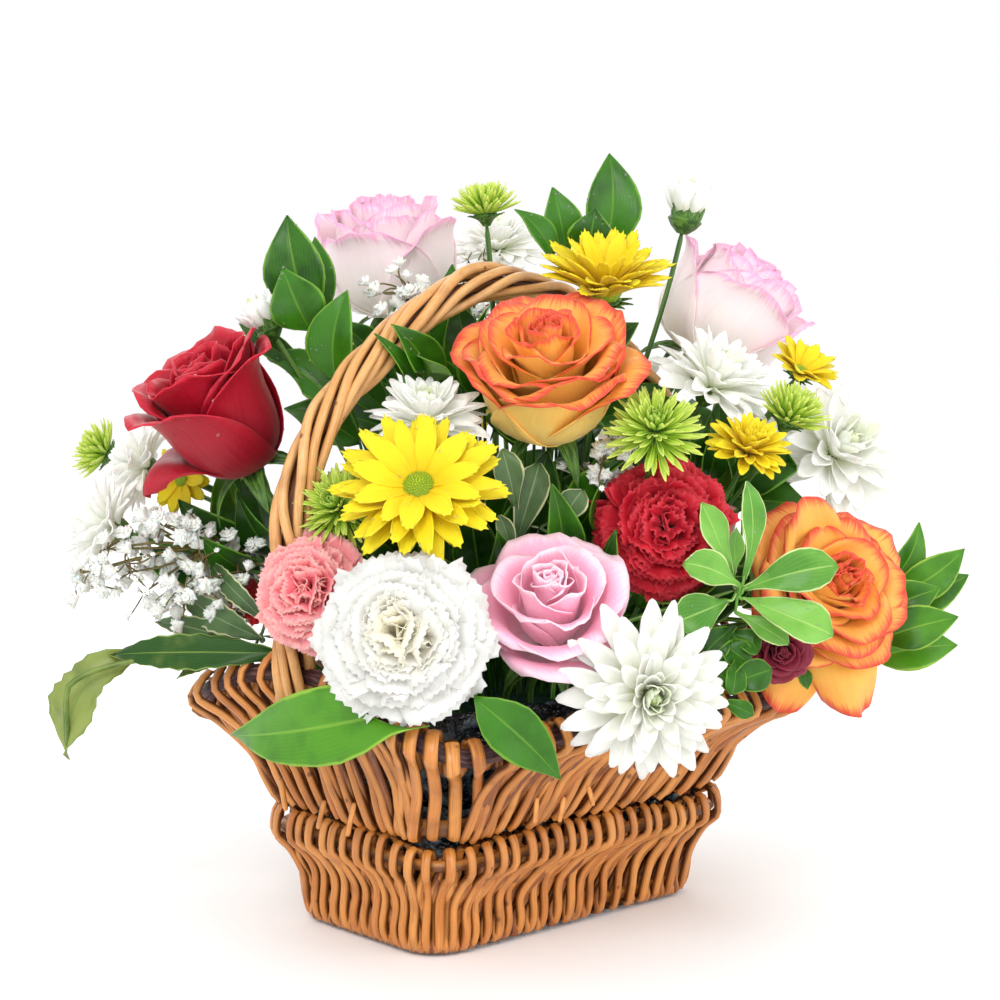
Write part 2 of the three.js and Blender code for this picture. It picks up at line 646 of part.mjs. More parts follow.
// Each leaf: [foot], [tip], width; the third number of a spot is toward the onlooker.
const sprays = [
  ['pittosporum_front', 'spoon', 'leafPale', [
    [[103, -4, 74], [140, 5, 82], 16], [[103, -8, 72], [137, -23, 82], 16], [[100, -14, 66], [122, -27, 70], 8],
    [[103, 0, 72], [103, 40, 80], 9], [[98, 2, 70], [85, 29, 78], 11], [[101, -3, 74], [80, 5, 84], 12],
    [[96, -9, 72], [74, -16, 82], 17], [[99, 1, 66], [100, 19, 68], 7]]],
  ['pittosporum_low', 'spoon', 'leaf', [
    [[100, -20, 62], [86, -32, 68], 14], [[92, -46, 72], [115, -38, 70], 14], [[99, -34, 70], [97, -48, 80], 11],
    [[92, -50, 84], [105, -56, 88], 8]]],
  ['leaf_over_left_rim', 'ovate', 'leaf', [[[-30, -50, 112], [-117, -67, 52], 32]]],
  ['leaf_over_front_rim', 'ovate', 'leaf', [[[-9, -54, 112], [24, -80, 106], 19]]],
  ['pittosporum_centre', 'spoon', 'leafGrey', [
    [[7, 29, 62], [1, 55, 70], 13], [[6, 13, 60], [17, 50, 60], 15], [[26, 22, 62], [35, 38, 66], 13],
    [[40, 38, 48], [24, 52, 54], 7], [[5, 8, 68], [0, 27, 76], 8]]],
  ['ruscus_centre', 'ruscus', 'leaf', [
    [[-28, 80, 40], [-45, 108, 70], 20], [[-36, 82, 44], [-52, 104, 74], 10], [[-30, 82, 52], [-34, 95, 76], 18]]],
  ['ruscus_left', 'ruscus', 'leaf', [
    [[-85, 116, 22], [-95, 162, 26], 28], [[-80, 118, 12], [-84, 155, 10], 16], [[-84, 110, 32], [-95, 136, 42], 25],
    [[-72, 86, 38], [-67, 126, 46], 24], [[-74, 78, 24], [-106, 102, 14], 20], [[-89, 95, 16], [-118, 116, 10], 12]]],
  ['ruscus_top', 'ruscus', 'leaf', [
    [[48, 149, 2], [50, 194, 4], 26], [[30, 148, 8], [24, 177, 12], 19], [[25, 143, 14], [7, 166, 20], 14],
    [[40, 146, 12], [43, 166, 18], 22], [[55, 154, -10], [61, 176, -12], 6]]],
  ['ruscus_right', 'ruscus', 'leaf', [
    [[181, 2, -8], [193, 22, -10], 10], [[185, -6, -10], [213, 12, -12], 16], [[188, -13, -14], [217, 6, -18], 15],
    [[174, -27, 4], [202, -19, 6], 18], [[173, -35, -6], [211, -26, -10], 20]]],
  ['leaf_long_left', 'long', 'leaf', [
    [[-92, -32, 52], [-173, -33, 30], 15], [[-164, -34, 24], [-189, -75, 36], 20], [[-113, -32, 36], [-141, -43, 40], 7]]],
  ['leaves_grey_left', 'long', 'leafGrey', [
    [[-103, -26, 40], [-144, -5, 4], 14], [[-103, -18, 36], [-131, 9, 16], 10], [[-110, -30, 30], [-156, -19, 8], 11]]],
  ['leaves_back', 'ruscus', 'leaf', [
    [[-24, 38, -112], [-40, 62, -128], 20], [[-20, 34, -116], [-8, 58, -134], 20],
    [[-24, 6, -118], [-40, -10, -142], 22], [[-20, 2, -116], [-4, -14, -144], 20]]],
];

// name, seed, [middle of the cloud], [half sizes], florets
const breaths = [
  ['breath_left', 7, [-148, 6, 14], [32, 26, 22], 10],
  ['breath_top_left', 11, [-48, 118, 16], [14, 16, 12], 5],
  ['breath_top', 5, [-14, 140, -28], [14, 16, 12], 5],
  ['breath_centre', 19, [52, 48, 56], [12, 14, 10], 5],
];

// ---- Stems -----------------------------------------------------------------------------------

// Each stem runs from the foot of its head down into the foam; the holes keep a pitch apart.
const holePitch = 14;
const holeDepth = 20;
const takenHoles = [];

function holeFor(point) {
  const reachX = foamHalf[0] - 8;
  const reachY = foamHalf[1] - 8;
  const wantX = THREE.MathUtils.clamp(point.x * 0.6, -reachX, reachX);
  const wantY = THREE.MathUtils.clamp(point.y * 0.6, -reachY, reachY);
  let best = null;
  for (let x = -4; x <= 4; x += 1) {
    for (let y = -3; y <= 3; y += 1) {
      const spot = vec(x * holePitch + (y % 2) * holePitch / 2, y * holePitch, foamHeight + 5);
      const free = takenHoles.every((taken) => taken.distanceTo(spot) > holePitch * 0.6);
      const far = Math.hypot(spot.x - wantX, spot.y - wantY);
      if (free && Math.abs(spot.x) <= reachX && (!best || far < best.far)) best = { spot, far };
    }
  }
  takenHoles.push(best.spot);
  return best.spot;
}

function stemPath(foot, leave) {
  const hole = holeFor(foot);
  const length = foot.distanceTo(hole);
  const curve = new THREE.CubicBezierCurve3(foot, foot.clone().addScaledVector(leave, length * 0.35),
    hole.clone().add(vec(0, 0, length * 0.3)), hole);
  const path = curve.getPoints(3);
  path.push(hole.clone().setZ(foamHeight - holeDepth));
  return path;
}

// Stems are bent clear of each other, of the other heads and of the handle.
function settle(stems, heads, archPoints) {
  for (let round = 0; round < 60; round += 1) {
    for (const stem of stems) {
      for (let i = 1; i < stem.path.length - 2; i += 1) {
        const p = stem.path[i];
        for (const other of stems) {
          if (other === stem) continue;
          for (let j = 0; j + 1 < other.path.length; j += 1) {
            const line = new THREE.Line3(other.path[j], other.path[j + 1]);
            const near = line.closestPointToPoint(p, true, vec(0, 0, 0));
            const away = p.clone().sub(near);
            const gap = stem.radius + other.radius + 2.2 - away.length();
            if (gap > 0) p.addScaledVector(away.normalize(), gap * 0.5);
          }
        }
        for (const end of [stem.path[i - 1], stem.path[i + 1]]) {
          const line = new THREE.Line3(p, end);
          for (const q of archPoints) {
            const away = line.closestPointToPoint(q, true, vec(0, 0, 0)).sub(q);
            const gap = handleRadius + stem.radius + 3 - away.length();
            if (gap > 0) p.addScaledVector(away.normalize(), gap);
          }
        }
        for (const head of heads) {
          if (head.name === stem.name) continue;
          pushOut(p, head, 3, 0.5);
        }
      }
    }
  }
}

function pushOut(point, head, margin, share) {
  const local = point.clone().applyMatrix4(head.inverse);
  const wide = head.r + margin;
  const reach = vec(local.x / wide, local.y / wide, local.z / (head.depth + margin)).length();
  if (reach >= 1 || reach < 1e-3) return;
  local.multiplyScalar(1 + share * (1 / reach - 1));
  point.copy(local.applyMatrix4(head.frame));
}

const heads = blooms.map(([name, kind, spot, facing, r], i) => {
  const frame = frameAt(spot, facing, i * 1.3);
  return { name, kind, r, depth: r * depthOf[kind], frame, inverse: frame.clone().invert() };
});

const slimKinds = ['bud', 'smallMum', 'button'];
const stems = heads.map((head) => {
  const back = vec(0, 0, -1).transformDirection(head.frame);
  const foot = vec(0, 0, -head.depth * 0.95).applyMatrix4(head.frame);
  const size = slimKinds.includes(head.kind) ? 0.75 : 1;
  return { name: head.name, radius: stemRadius * size, path: stemPath(foot, back) };
});

function hubOf(leaves) {
  const hub = vec(0, 0, 0);
  leaves.forEach(([foot]) => hub.add(place(foot)));
  return hub.multiplyScalar(1 / leaves.length);
}

const sprayStems = sprays.map(([name, , , leaves]) => {
  const hub = hubOf(leaves);
  const inward = hub.clone().sub(vec(0, 0, 110)).normalize().multiplyScalar(-1);
  return { name, radius: 1.3, path: stemPath(hub, inward) };
});

const breathStems = breaths.map(([name, , middle]) => {
  const hub = place(middle).multiplyScalar(0.9).add(vec(0, 0, 11));
  const inward = hub.clone().sub(vec(0, 0, 110)).normalize().multiplyScalar(-1);
  return { name, radius: 1, path: stemPath(hub, inward) };
});

const archPoints = handleCurve().getSpacedPoints(60);
settle([...stems, ...sprayStems, ...breathStems], heads, archPoints);

function stemRod(stem) {
  return rod(stem.path, [stem.radius * 2, stem.radius * 2], { sides: 3 });
}

// A bloom's stem swells into the cup that holds the head.
function bloomStem(stem, head) {
  const swell = { rose: 0.2, carnation: 0.2 }[head.kind] ?? 0.12;
  const tip = vec(0, 0, -head.depth * 0.45).applyMatrix4(head.frame);
  const path = [tip, ...stem.path];
  const widths = path.map((_, i) => (i ? stem.radius * 2 : head.r * swell * 2));
  return rod(path, widths.map((w) => [w, w]), { sides: 3 });
}

// ---- Leaves and baby's breath ----------------------------------------------------------------

// Widths along a leaf, as [share of the length, share of the half width].
const leafShapes = {
  ruscus: [[0.28, 0.85], [0.62, 0.95]],
  ovate: [[0.2, 0.7], [0.45, 1], [0.75, 0.72]],
  spoon: [[0.45, 0.62], [0.82, 1]],
  long: [[0.2, 0.7], [0.5, 1], [0.8, 0.75]],
  narrow: [[0.5, 1]],
};

// A leaf as one sheet: a thin stalk from the stem, the blade with a folded middle, and the tip.
function leaf(from, foot, tip, width, shape, droop) {
  const length = foot.distanceTo(tip);
  const along = tip.clone().sub(foot).normalize();
  const outward = foot.clone().add(tip).multiplyScalar(0.5).sub(vec(0, 0, 130)).normalize();
  const look = direction([0, 0.25, 1]).lerp(outward, 0.4);
  const side = vec(0, 0, 0).crossVectors(along, look).normalize();
  const normal = vec(0, 0, 0).crossVectors(side, along);
  const points = [from.clone()];
  const faces = [];
  let row = [0];
  const addRow = (next) => {
    const start = points.length;
    points.push(...next);
    const now = next.map((_, k) => start + k);
    const spans = Math.max(row.length, now.length) - 1;
    for (let k = 0; k < spans; k += 1) {
      const [a, b] = [row[Math.min(k, row.length - 1)], row[Math.min(k + 1, row.length - 1)]];
      const [c, d] = [now[Math.min(k + 1, now.length - 1)], now[Math.min(k, now.length - 1)]];
      if (a !== b) faces.push([a, b, c]);
      if (c !== d) faces.push([a, c, d]);
    }
    row = now;
  };
  if (from.distanceTo(foot) > 10) {
    addRow([foot.clone().addScaledVector(side, -0.8), foot.clone().addScaledVector(side, 0.8)]);
  }
  for (const [share, wide] of width < 10 ? leafShapes.narrow : leafShapes[shape]) {
    const arch = droop * length * Math.sin(share * Math.PI);
    const spine = foot.clone().lerp(tip, share).addScaledVector(normal, arch);
    addRow([-1, 0, 1].map((w) => spine.clone().addScaledVector(side, w * wide * width / 2)
      .addScaledVector(normal, Math.abs(w) * width * 0.09)));
  }
  addRow([tip.clone()]);
  for (const point of points.slice(1)) {
    for (const head of heads) pushOut(point, head, 1.5, 1);
  }
  return sheet(points, faces, leafThickness);
}

function nearestOn(path, point) {
  return path.slice(0, -2).reduce((best, p) => (p.distanceTo(point) < best.distanceTo(point) ? p : best));
}

function spray(index) {
  const [, shape, , leaves] = sprays[index];
  const stem = sprayStems[index];
  const parts = [stemRod(stem)];
  for (const [foot, tip, width] of leaves) {
    const base = place(foot);
    parts.push(leaf(nearestOn(stem.path, base), base, place(tip), width, shape, 0.08));
  }
  return join(parts);
}

function breath(index) {
  const [, seed, middle, half, count] = breaths[index];
  const random = seeded(seed);
  const stem = breathStems[index];
  const parts = [stemRod(stem)];
  for (let i = 0; i < count; i += 1) {
    const a = random() * Math.PI * 2;
    const h = random() * 2 - 1;
    const level = Math.sqrt(1 - h * h) * 0.95;
    const spot = place([middle[0] + half[0] * Math.cos(a) * level, middle[1] + half[1] * h,
      middle[2] + half[2] * Math.sin(a) * level]);
    for (const head of heads) pushOut(spot, head, 5, 1);
    const twig = [nearestOn(stem.path, spot), spot];
    parts.push(rod(twig, [[1.8, 1.8], [1, 1]], { sides: 3 }), ball(spot, floretRadius));
  }
  return join(parts);
}

// ---- All pieces, the ones that keep their full shape first -------------------------------------

const pieces = [
  ['basket_floor', 'willow', floorBoard],
  ['lower_weave', 'willow', lowerWeave],
  ['lower_hoop', 'willowLight', lowerHoop],
  ['upper_weave', 'willow', upperWeave],
  ['rim_rod', 'rod', rimRod],
  ['handle', 'willowLight', handle],
  ...blooms.map(([name, kind, , , r, colour], i) => [name, colour,
    () => join([bloomStem(stems[i], heads[i]), ...headOf[kind](heads[i].frame, r)])]),
  ...sprays.map(([name, , colour], i) => [name, colour, () => spray(i)]),
  ...breaths.map(([name], i) => [name, 'breath', () => breath(i)]),
  ['liner', 'film', liner],
  ['foam', 'foam', foamBlock],
];

function boxesMeet(a, b) {
  return [0, 1, 2].every((k) => a.min[k] < b.max[k] + clearance && b.min[k] < a.max[k] + clearance);
}

function toMesh(name, body, [colour, roughness]) {
  const mesh = body.getMesh();
  const geometry = new THREE.BufferGeometry();
  geometry.setAttribute('position', new THREE.BufferAttribute(new Float32Array(mesh.vertProperties), 3));
  geometry.setIndex(new THREE.BufferAttribute(new Uint32Array(mesh.triVerts), 1));
  geometry.computeVertexNormals();
  const material = new THREE.MeshStandardMaterial({ color: colour, roughness, metalness: 0 });
  const result = new THREE.Mesh(geometry, material);
  result.name = name;
  return result;
}

const arrangement = new THREE.Group();
const placed = [];
for (const [name, colour, build] of pieces) {
  grow = 0;
  let body = build();
  const box = body.boundingBox();
  grow = clearance;
  for (const earlier of placed) {
    if (boxesMeet(box, earlier.box)) {
      earlier.room ??= earlier.build();
      body = body.subtract(earlier.room);
    }
  }
  const kept = largest(body);
  placed.push({ box: kept.boundingBox(), build });
  arrangement.add(toMesh(name, kept, paint[colour]));
}

export default arrangement;
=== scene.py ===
import json
import math

import bpy
import numpy as np
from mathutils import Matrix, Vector

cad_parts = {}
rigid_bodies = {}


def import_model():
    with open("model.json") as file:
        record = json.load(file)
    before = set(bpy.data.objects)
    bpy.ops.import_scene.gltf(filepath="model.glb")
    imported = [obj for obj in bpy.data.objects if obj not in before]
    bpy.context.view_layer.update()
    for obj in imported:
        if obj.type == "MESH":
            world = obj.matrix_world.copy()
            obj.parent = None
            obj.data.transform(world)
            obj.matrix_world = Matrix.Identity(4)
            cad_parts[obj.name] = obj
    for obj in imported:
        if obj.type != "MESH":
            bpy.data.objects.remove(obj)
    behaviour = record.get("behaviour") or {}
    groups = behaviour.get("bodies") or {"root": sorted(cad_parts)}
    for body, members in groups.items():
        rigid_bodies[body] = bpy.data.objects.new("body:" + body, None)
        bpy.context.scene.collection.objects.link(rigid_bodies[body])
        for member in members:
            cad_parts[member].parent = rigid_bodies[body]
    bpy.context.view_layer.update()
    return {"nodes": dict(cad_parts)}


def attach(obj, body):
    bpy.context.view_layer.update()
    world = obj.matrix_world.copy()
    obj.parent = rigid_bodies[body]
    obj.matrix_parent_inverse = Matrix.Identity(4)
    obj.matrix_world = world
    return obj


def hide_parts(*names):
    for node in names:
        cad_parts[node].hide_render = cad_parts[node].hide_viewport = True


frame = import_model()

scene = bpy.context.scene
scene.view_settings.view_transform = "Standard"


def deselectAll():
    bpy.ops.object.select_all(action="DESELECT")


def makeActive(piece):
    deselectAll()
    piece.select_set(True)
    bpy.context.view_layer.objects.active = piece


def unit(arrow):
    arrow = np.asarray(arrow, dtype=float)
    return arrow / max(np.linalg.norm(arrow), 1e-12)


def smoothStep(low, high, value):
    share = np.clip((value - low) / (high - low), 0, 1)
    return share * share * (3 - 2 * share)


def waver(a, b, seed):  # a soft wavy surface, about -1 to 1
    rng = np.random.default_rng(seed)
    total = 0
    for k in range(4):
        stepA, stepB, phase = rng.uniform(0.6, 1.4, 3) * (1.3 + k, 1.1 + k, 6)
        total = total + np.sin(a * stepA + b * stepB + phase) / (1 + 0.5 * k)
    return total / 2.4


def tint(hexCode):  # a display colour as linear light
    values = [int(hexCode[k:k + 2], 16) / 255 for k in (0, 2, 4)]
    return tuple(v / 12.92 if v <= 0.04045 else ((v + 0.055) / 1.055) ** 2.4 for v in values) + (1.0,)


def spread(share, values):  # the value at a share of the way along a list
    values = np.atleast_1d(values)
    return np.interp(share, np.linspace(0, 1, len(values)), values)


def readSpots(mesh, what="co"):  # a mesh's vertex places, or their normals
    spots = np.empty(len(mesh.vertices) * 3)
    mesh.vertices.foreach_get(what, spots)
    return spots.reshape(-1, 3)


# one flat sheet of columns and rows, the start of every petal, leaf and rod
def sheetTemplate(name, columns, rows):
    deselectAll()
    bpy.ops.mesh.primitive_grid_add(x_subdivisions=columns, y_subdivisions=rows, size=2)
    template = bpy.context.object
    template.name = name
    template["columns"] = columns
    template["rows"] = rows
    return template


def sheetShares(template):  # u runs -1 to 1 across, v runs 0 to 1 along, a row of the array for each v
    spots = readSpots(template.data).reshape(template["rows"] + 1, template["columns"] + 1, 3)
    return spots[:, :, 0], (spots[:, :, 1] + 1) / 2


def addAttribute(piece, name, values):
    attribute = piece.data.attributes.new(name, "FLOAT", "POINT")
    attribute.data.foreach_set("value", np.asarray(values, dtype=np.float32))


def copySheet(template, spots, tone=0.5):
    mesh = template.data.copy()
    mesh.vertices.foreach_set("co", np.asarray(spots, dtype=np.float32).ravel())
    piece = bpy.data.objects.new(template.name, mesh)
    addAttribute(piece, "tone", np.full(len(mesh.vertices), tone))
    scene.collection.objects.link(piece)
    return piece


def joinCopies(pieces, name):
    deselectAll()
    for piece in pieces:
        piece.select_set(True)
    bpy.context.view_layer.objects.active = pieces[0]
    if len(pieces) > 1:
        bpy.ops.object.join()
    joined = bpy.context.object
    joined.name = joined.data.name = name
    bpy.ops.object.shade_smooth()
    return joined


def seamless(pieces, name, distance=0.00002):  # one closed piece from its copies
    piece = joinCopies(pieces, name)
    makeActive(piece)
    bpy.ops.object.mode_set(mode="EDIT")
    bpy.ops.mesh.select_all(action="SELECT")
    bpy.ops.mesh.remove_doubles(threshold=distance)
    bpy.ops.mesh.normals_make_consistent(inside=False)
    bpy.ops.object.mode_set(mode="OBJECT")
    return piece


def thicken(piece, thickness):
    makeActive(piece)
    bpy.ops.object.modifier_add(type="SOLIDIFY")
    wall = piece.modifiers[-1]
    wall.thickness = thickness
    wall.offset = 0
    bpy.ops.object.modifier_apply(modifier=wall.name)


def dress(piece, material, slotName, *nodes):  # gives a finished piece its material and its nodes' place
    piece.data.materials.clear()
    piece.data.materials.append(material)
    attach(piece, "root")
    if nodes:
        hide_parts(*nodes)
    return piece


# places are given in millimetres across, up and toward the onlooker, from the arrangement's heart
layout = {"azimuth": -42.4, "elevation": 7.8, "heart": (0, 0, 0.150)}
turnAngle = math.radians(layout["azimuth"])
tiltAngle = math.radians(layout["elevation"])
toward = np.array([math.sin(turnAngle) * math.cos(tiltAngle),
                   -math.cos(turnAngle) * math.cos(tiltAngle), math.sin(tiltAngle)])
across = np.array([math.cos(turnAngle), math.sin(turnAngle), 0.0])
upward = np.cross(toward, across)
heart = np.array(layout["heart"])


def wayOf(a, u, t):
    return across * a + upward * u + toward * t


def placeOf(spot):
    return heart + wayOf(*spot) / 1000


def headFrame(spot, facing, spin):  # three axes, of which the last is the way the head faces, and its middle
    z = unit(wayOf(*facing))
    x = unit(np.cross((0, 0, 1), z))
    y = np.cross(z, x)
    x, y = x * math.cos(spin) + y * math.sin(spin), y * math.cos(spin) - x * math.sin(spin)
    return np.array([x, y, z]), placeOf(spot)


def aimAt(thing, place, target):
    thing.rotation_euler = (Vector(target) - Vector(place)).to_track_quat("-Z", "Y").to_euler()


cameraSet = {"place": (-0.6814, -0.7463, 0.2884), "aim": (0.0033, 0.0036, 0.1857), "lens": 80.78, "sensor": 36}
bpy.ops.object.camera_add(location=cameraSet["place"])
camera = bpy.context.object
camera.name = "photoCamera"
camera.data.lens = cameraSet["lens"]
camera.data.sensor_width = cameraSet["sensor"]
aimAt(camera, cameraSet["place"], cameraSet["aim"])
scene.camera = camera

lightSet = {
    "key": {"place": (-1.25, -0.85, 1.25), "power": 13, "size": 0.8},
    "fill": {"place": (0.35, -1.5, 0.75), "power": 6.5, "size": 1.2},
    "back": {"place": (0.6, 1.2, 1.2), "power": 6, "size": 1.2},
}
skyStrength = 1.0
for lightName, chosen in lightSet.items():
    bpy.ops.object.light_add(type="AREA", location=chosen["place"])
    lamp = bpy.context.object
    lamp.name = lightName + "Light"
    lamp.data.energy = chosen["power"]
    lamp.data.size = chosen["size"]
    aimAt(lamp, chosen["place"], layout["heart"])

world = bpy.data.worlds.new("studioSky")
world.use_nodes = True
sky = world.node_tree.nodes["Background"]
sky.inputs["Color"].default_value = (1, 1, 1, 1)
sky.inputs["Strength"].default_value = skyStrength
scene.world = world

floorSet = {"size": 60, "drop": 0.0005, "colour": (0.97, 0.97, 0.97, 1), "glow": 0.035}
deselectAll()
bpy.ops.mesh.primitive_plane_add(size=floorSet["size"], location=(0, 0, -floorSet["drop"]))
floor = bpy.context.object
floor.name = "studioFloor"
print("camera and light done")


class Finish:  # one material, with short ways to add its nodes
    def __init__(self, name):
        self.material = bpy.data.materials.new(name)
        self.material.use_nodes = True
        self.tree = self.material.node_tree
        self.shader = self.tree.nodes["Principled BSDF"]

    def node(self, kind, settings=None, **inputs):
        made = self.tree.nodes.new("ShaderNode" + kind)
        for key, value in (settings or {}).items():
            setattr(made, key, value)
        for key, value in inputs.items():
            self.give(made.inputs[key.replace("_", " ")], value)
        return made

    def give(self, socket, value):
        if isinstance(value, bpy.types.NodeSocket):
            self.tree.links.new(value, socket)
        else:
            socket.default_value = value

    def math(self, operation, a, b=0.0):
        made = self.node("Math", {"operation": operation})
        self.give(made.inputs[0], a)
        self.give(made.inputs[1], b)
        return made.outputs[0]

    def times(self, a, b):
        return self.math("MULTIPLY", a, b)

    def plus(self, a, b):
        return self.math("ADD", a, b)

    def minus(self, a, b):
        return self.math("SUBTRACT", a, b)

    def mix(self, share, first, second, blend="MIX"):
        made = self.node("Mix", {"data_type": "RGBA", "blend_type": blend})
        self.give(made.inputs[0], share)
        self.give(made.inputs[6], first)
        self.give(made.inputs[7], second)
        return made.outputs[2]

    def over(self, body, shade, share, most=1):  # lays a colour over the body, as much as the share says
        return self.mix(share if most == 1 else self.times(share, most), body, tint(shade))

    def ramp(self, share, *stops):
        made = self.node("ValToRGB")
        elements = made.color_ramp.elements
        while len(elements) < len(stops):
            elements.new(0.5)
        for element, (position, shade) in zip(elements, stops):
            element.position = position
            element.color = tint(shade)
        self.give(made.inputs[0], share)
        return made.outputs[0]

    def band(self, value, low, high):  # 0 at low, 1 at high
        made = self.node("MapRange", {"interpolation_type": "SMOOTHSTEP"}, Value=value, From_Min=low, From_Max=high)
        return made.outputs["Result"]

    def fade(self, value, low, high):  # 1 at low, 0 at high
        return self.minus(1.0, self.band(value, low, high))

    def noise(self, vector, scale, detail=2.0, rough=0.5):
        return self.node("TexNoise", Vector=vector, Scale=scale, Detail=detail, Roughness=rough).outputs["Fac"]

    def cells(self, vector, scale):
        return self.node("TexVoronoi", Vector=vector, Scale=scale).outputs["Distance"]

    def streaks(self, across, along, seed=0.0, detail=3.0, rough=0.6):  # noise drawn out along the piece
        return self.noise(self.node("CombineXYZ", X=across, Y=along, Z=seed).outputs[0], 1.0, detail, rough)

    def spot(self):
        return self.node("TexCoord").outputs["Object"]

    def shares(self):  # across and along, from the piece's own map
        split = self.node("SeparateXYZ", Vector=self.node("UVMap", {"uv_map": "UVMap"}).outputs[0])
        return split.outputs[0], split.outputs[1]

    def fromMiddle(self, across):  # 0 along the middle, 1 at both edges
        return self.math("ABSOLUTE", self.minus(self.times(across, 2.0), 1.0))

    def attribute(self, name):
        return self.node("Attribute", {"attribute_name": name}).outputs["Fac"]

    def bump(self, height, strength, distance):
        made = self.node("Bump", Height=height, Strength=strength, Distance=distance)
        self.give(self.shader.inputs["Normal"], made.outputs[0])

    def surface(self, **sockets):
        for key, value in sockets.items():
            self.give(self.shader.inputs[key.replace("_", " ")], value)
        return self.material


floor.data.materials.append(Finish("paleFloor").surface(
    Base_Color=floorSet["colour"], Roughness=0.9, Specular_IOR_Level=0.1,
    Emission_Color=(1, 1, 1, 1), Emission_Strength=floorSet["glow"]))


# colours of the nicks and of the painted shade in the creases, then how fine each mark is
willowSet = {"nick": "4a2210", "creaseShading": "4e2208", "gloss": 0.28, "streaks": 7.0, "fibres": 26.0, "clouds": 70.0,
             "nicks": 110.0, "nickPatches": 37.0}


def willowFinish(name, light, middle, deep, stretch, creaseShading):
    willow = Finish(name)
    around, along = willow.shares()
    tone = willow.attribute("tone")
    spot = willow.spot()
    streak = willow.streaks(willow.times(around, willowSet["streaks"]), willow.times(along, stretch),
                            willow.times(tone, 37.0), 4.0)
    fibre = willow.streaks(willow.times(around, willowSet["fibres"]), willow.times(along, stretch * 2),
                           willow.times(tone, 53.0))
    cloud = willow.noise(spot, willowSet["clouds"])
    patches = willow.band(willow.noise(spot, willowSet["nickPatches"]), 0.51, 0.56)
    nick = willow.times(willow.fade(willow.cells(spot, willowSet["nicks"]), 0.09, 0.18), patches)
    # painted shade: the crease colour darkens the inward-facing half of each rod, or each handle strand towards the
    # rope's core
    if creaseShading == "inner":
        paintedShade = willow.attribute("inner")
    else:
        paintedShade = willow.fade(willow.math("SINE", willow.times(around, 2 * math.pi)), -0.15, 0.8)
    body = willow.ramp(tone, (0.0, deep), (0.3, middle), (1.0, light))
    body = willow.over(body, light, willow.band(streak, 0.45, 0.72))
    body = willow.over(body, deep, willow.band(fibre, 0.52, 0.66), 0.4)
    body = willow.over(body, deep, willow.band(cloud, 0.5, 0.75), 0.4)
    body = willow.over(body, willowSet["nick"], nick, 0.7)
    body = willow.over(body, willowSet["creaseShading"], paintedShade, 0.8)
    willow.bump(willow.minus(willow.minus(streak, fibre), nick), 0.4, 0.0006)
    rough = willow.plus(willow.times(streak, 0.2), willowSet["gloss"])
    return willow.surface(Base_Color=body, Roughness=rough, Specular_IOR_Level=0.4,
                          Coat_Weight=0.3, Coat_Roughness=0.22)


willowRods = willowFinish("goldenWillow", "e0974a", "c57732", "7d4017", 2.6, "sides")
handleWillow = willowFinish("handleWillow", "e6b273", "d4964e", "98592a", 30.0, "inner")


def smoothPath(points, count, closed=False):  # evenly spaced spots on a soft curve through the points
    points = [np.asarray(p, dtype=float) for p in points]
    if closed:
        points = [points[-1], *points, points[0], points[1]]
    else:
        points = [2 * points[0] - points[1], *points, 2 * points[-1] - points[-2]]
    fine = []
    for a, b, c, d in zip(points, points[1:], points[2:], points[3:]):
        for t in np.linspace(0, 1, 12, endpoint=False):
            fine.append(0.5 * (2 * b + (c - a) * t + (2 * a - 5 * b + 4 * c - d) * t ** 2
                               + (3 * b - a - 3 * c + d) * t ** 3))
    fine.append(points[-2])
    fine = np.array(fine)
    run = np.concatenate([[0], np.cumsum(np.linalg.norm(np.diff(fine, axis=0), axis=1))])
    want = np.linspace(0, run[-1], count)
    return np.stack([np.interp(want, run, fine[:, k]) for k in range(3)], axis=1)


def rodSpots(template, path, wide, deep=None, facing=None, closed=False):
    u = sheetShares(template)[0]
    count = template["rows"] + 1
    path = smoothPath(path, count, closed)
    wide, deep = (spread(np.linspace(0, 1, count), size) for size in (wide, wide if deep is None else deep))
    if closed:
        tangent = np.roll(path[:-1], -1, axis=0) - np.roll(path[:-1], 1, axis=0)
        tangent = np.concatenate([tangent, tangent[:1]])
    else:
        tangent = np.gradient(path, axis=0)
    tangent /= np.maximum(np.linalg.norm(tangent, axis=1, keepdims=True), 1e-12)
    normals = np.empty_like(tangent)
    normal = np.array([0, 0, 1.0]) if abs(tangent[0][2]) < 0.9 else np.array([1.0, 0, 0])
    for k, way in enumerate(tangent):
        hint = facing if facing is not None else normal
        normals[k] = normal = unit(hint - way * np.dot(hint, way))
    sides = np.cross(tangent, normals)
    angle = -u * math.pi
    reachA = np.cos(angle) * wide[:, None] / 2
    reachB = np.sin(angle) * deep[:, None] / 2
    spots = path[:, None, :] + sides[:, None, :] * reachA[:, :, None] + normals[:, None, :] * reachB[:, :, None]
    if not closed:  # both ends are drawn in to a point
        spots[0] = spots[0].mean(axis=0)
        spots[-1] = spots[-1].mean(axis=0)
    return spots


def rodCopy(template, path, wide, tone=0.5, **more):
    return copySheet(template, rodSpots(template, path, wide, **more), tone)


basketSet = {
    "baseHalf": (0.076, 0.0415), "baseCorner": 0.014,
    "bandHalf": (0.088, 0.0585), "bandCorner": 0.018, "bandHeight": 0.0583,
    "hoopHalf": (0.0875, 0.058), "hoopHeight": 0.042,
    "rimHalf": (0.113, 0.087), "rimCorner": 0.026, "rimHeight": 0.094,
    "riseShort": 0.026, "riseLong": 0.004, "rimRadius": 0.0039, "hoopRadius": 0.0024,
    "stakes": 70, "stakeWide": 0.0045, "stakeDeep": 0.0040, "lean": 0.027,
    "handleFoot": 0.118, "handleReach": 0.1185, "handleTop": 0.284,
}


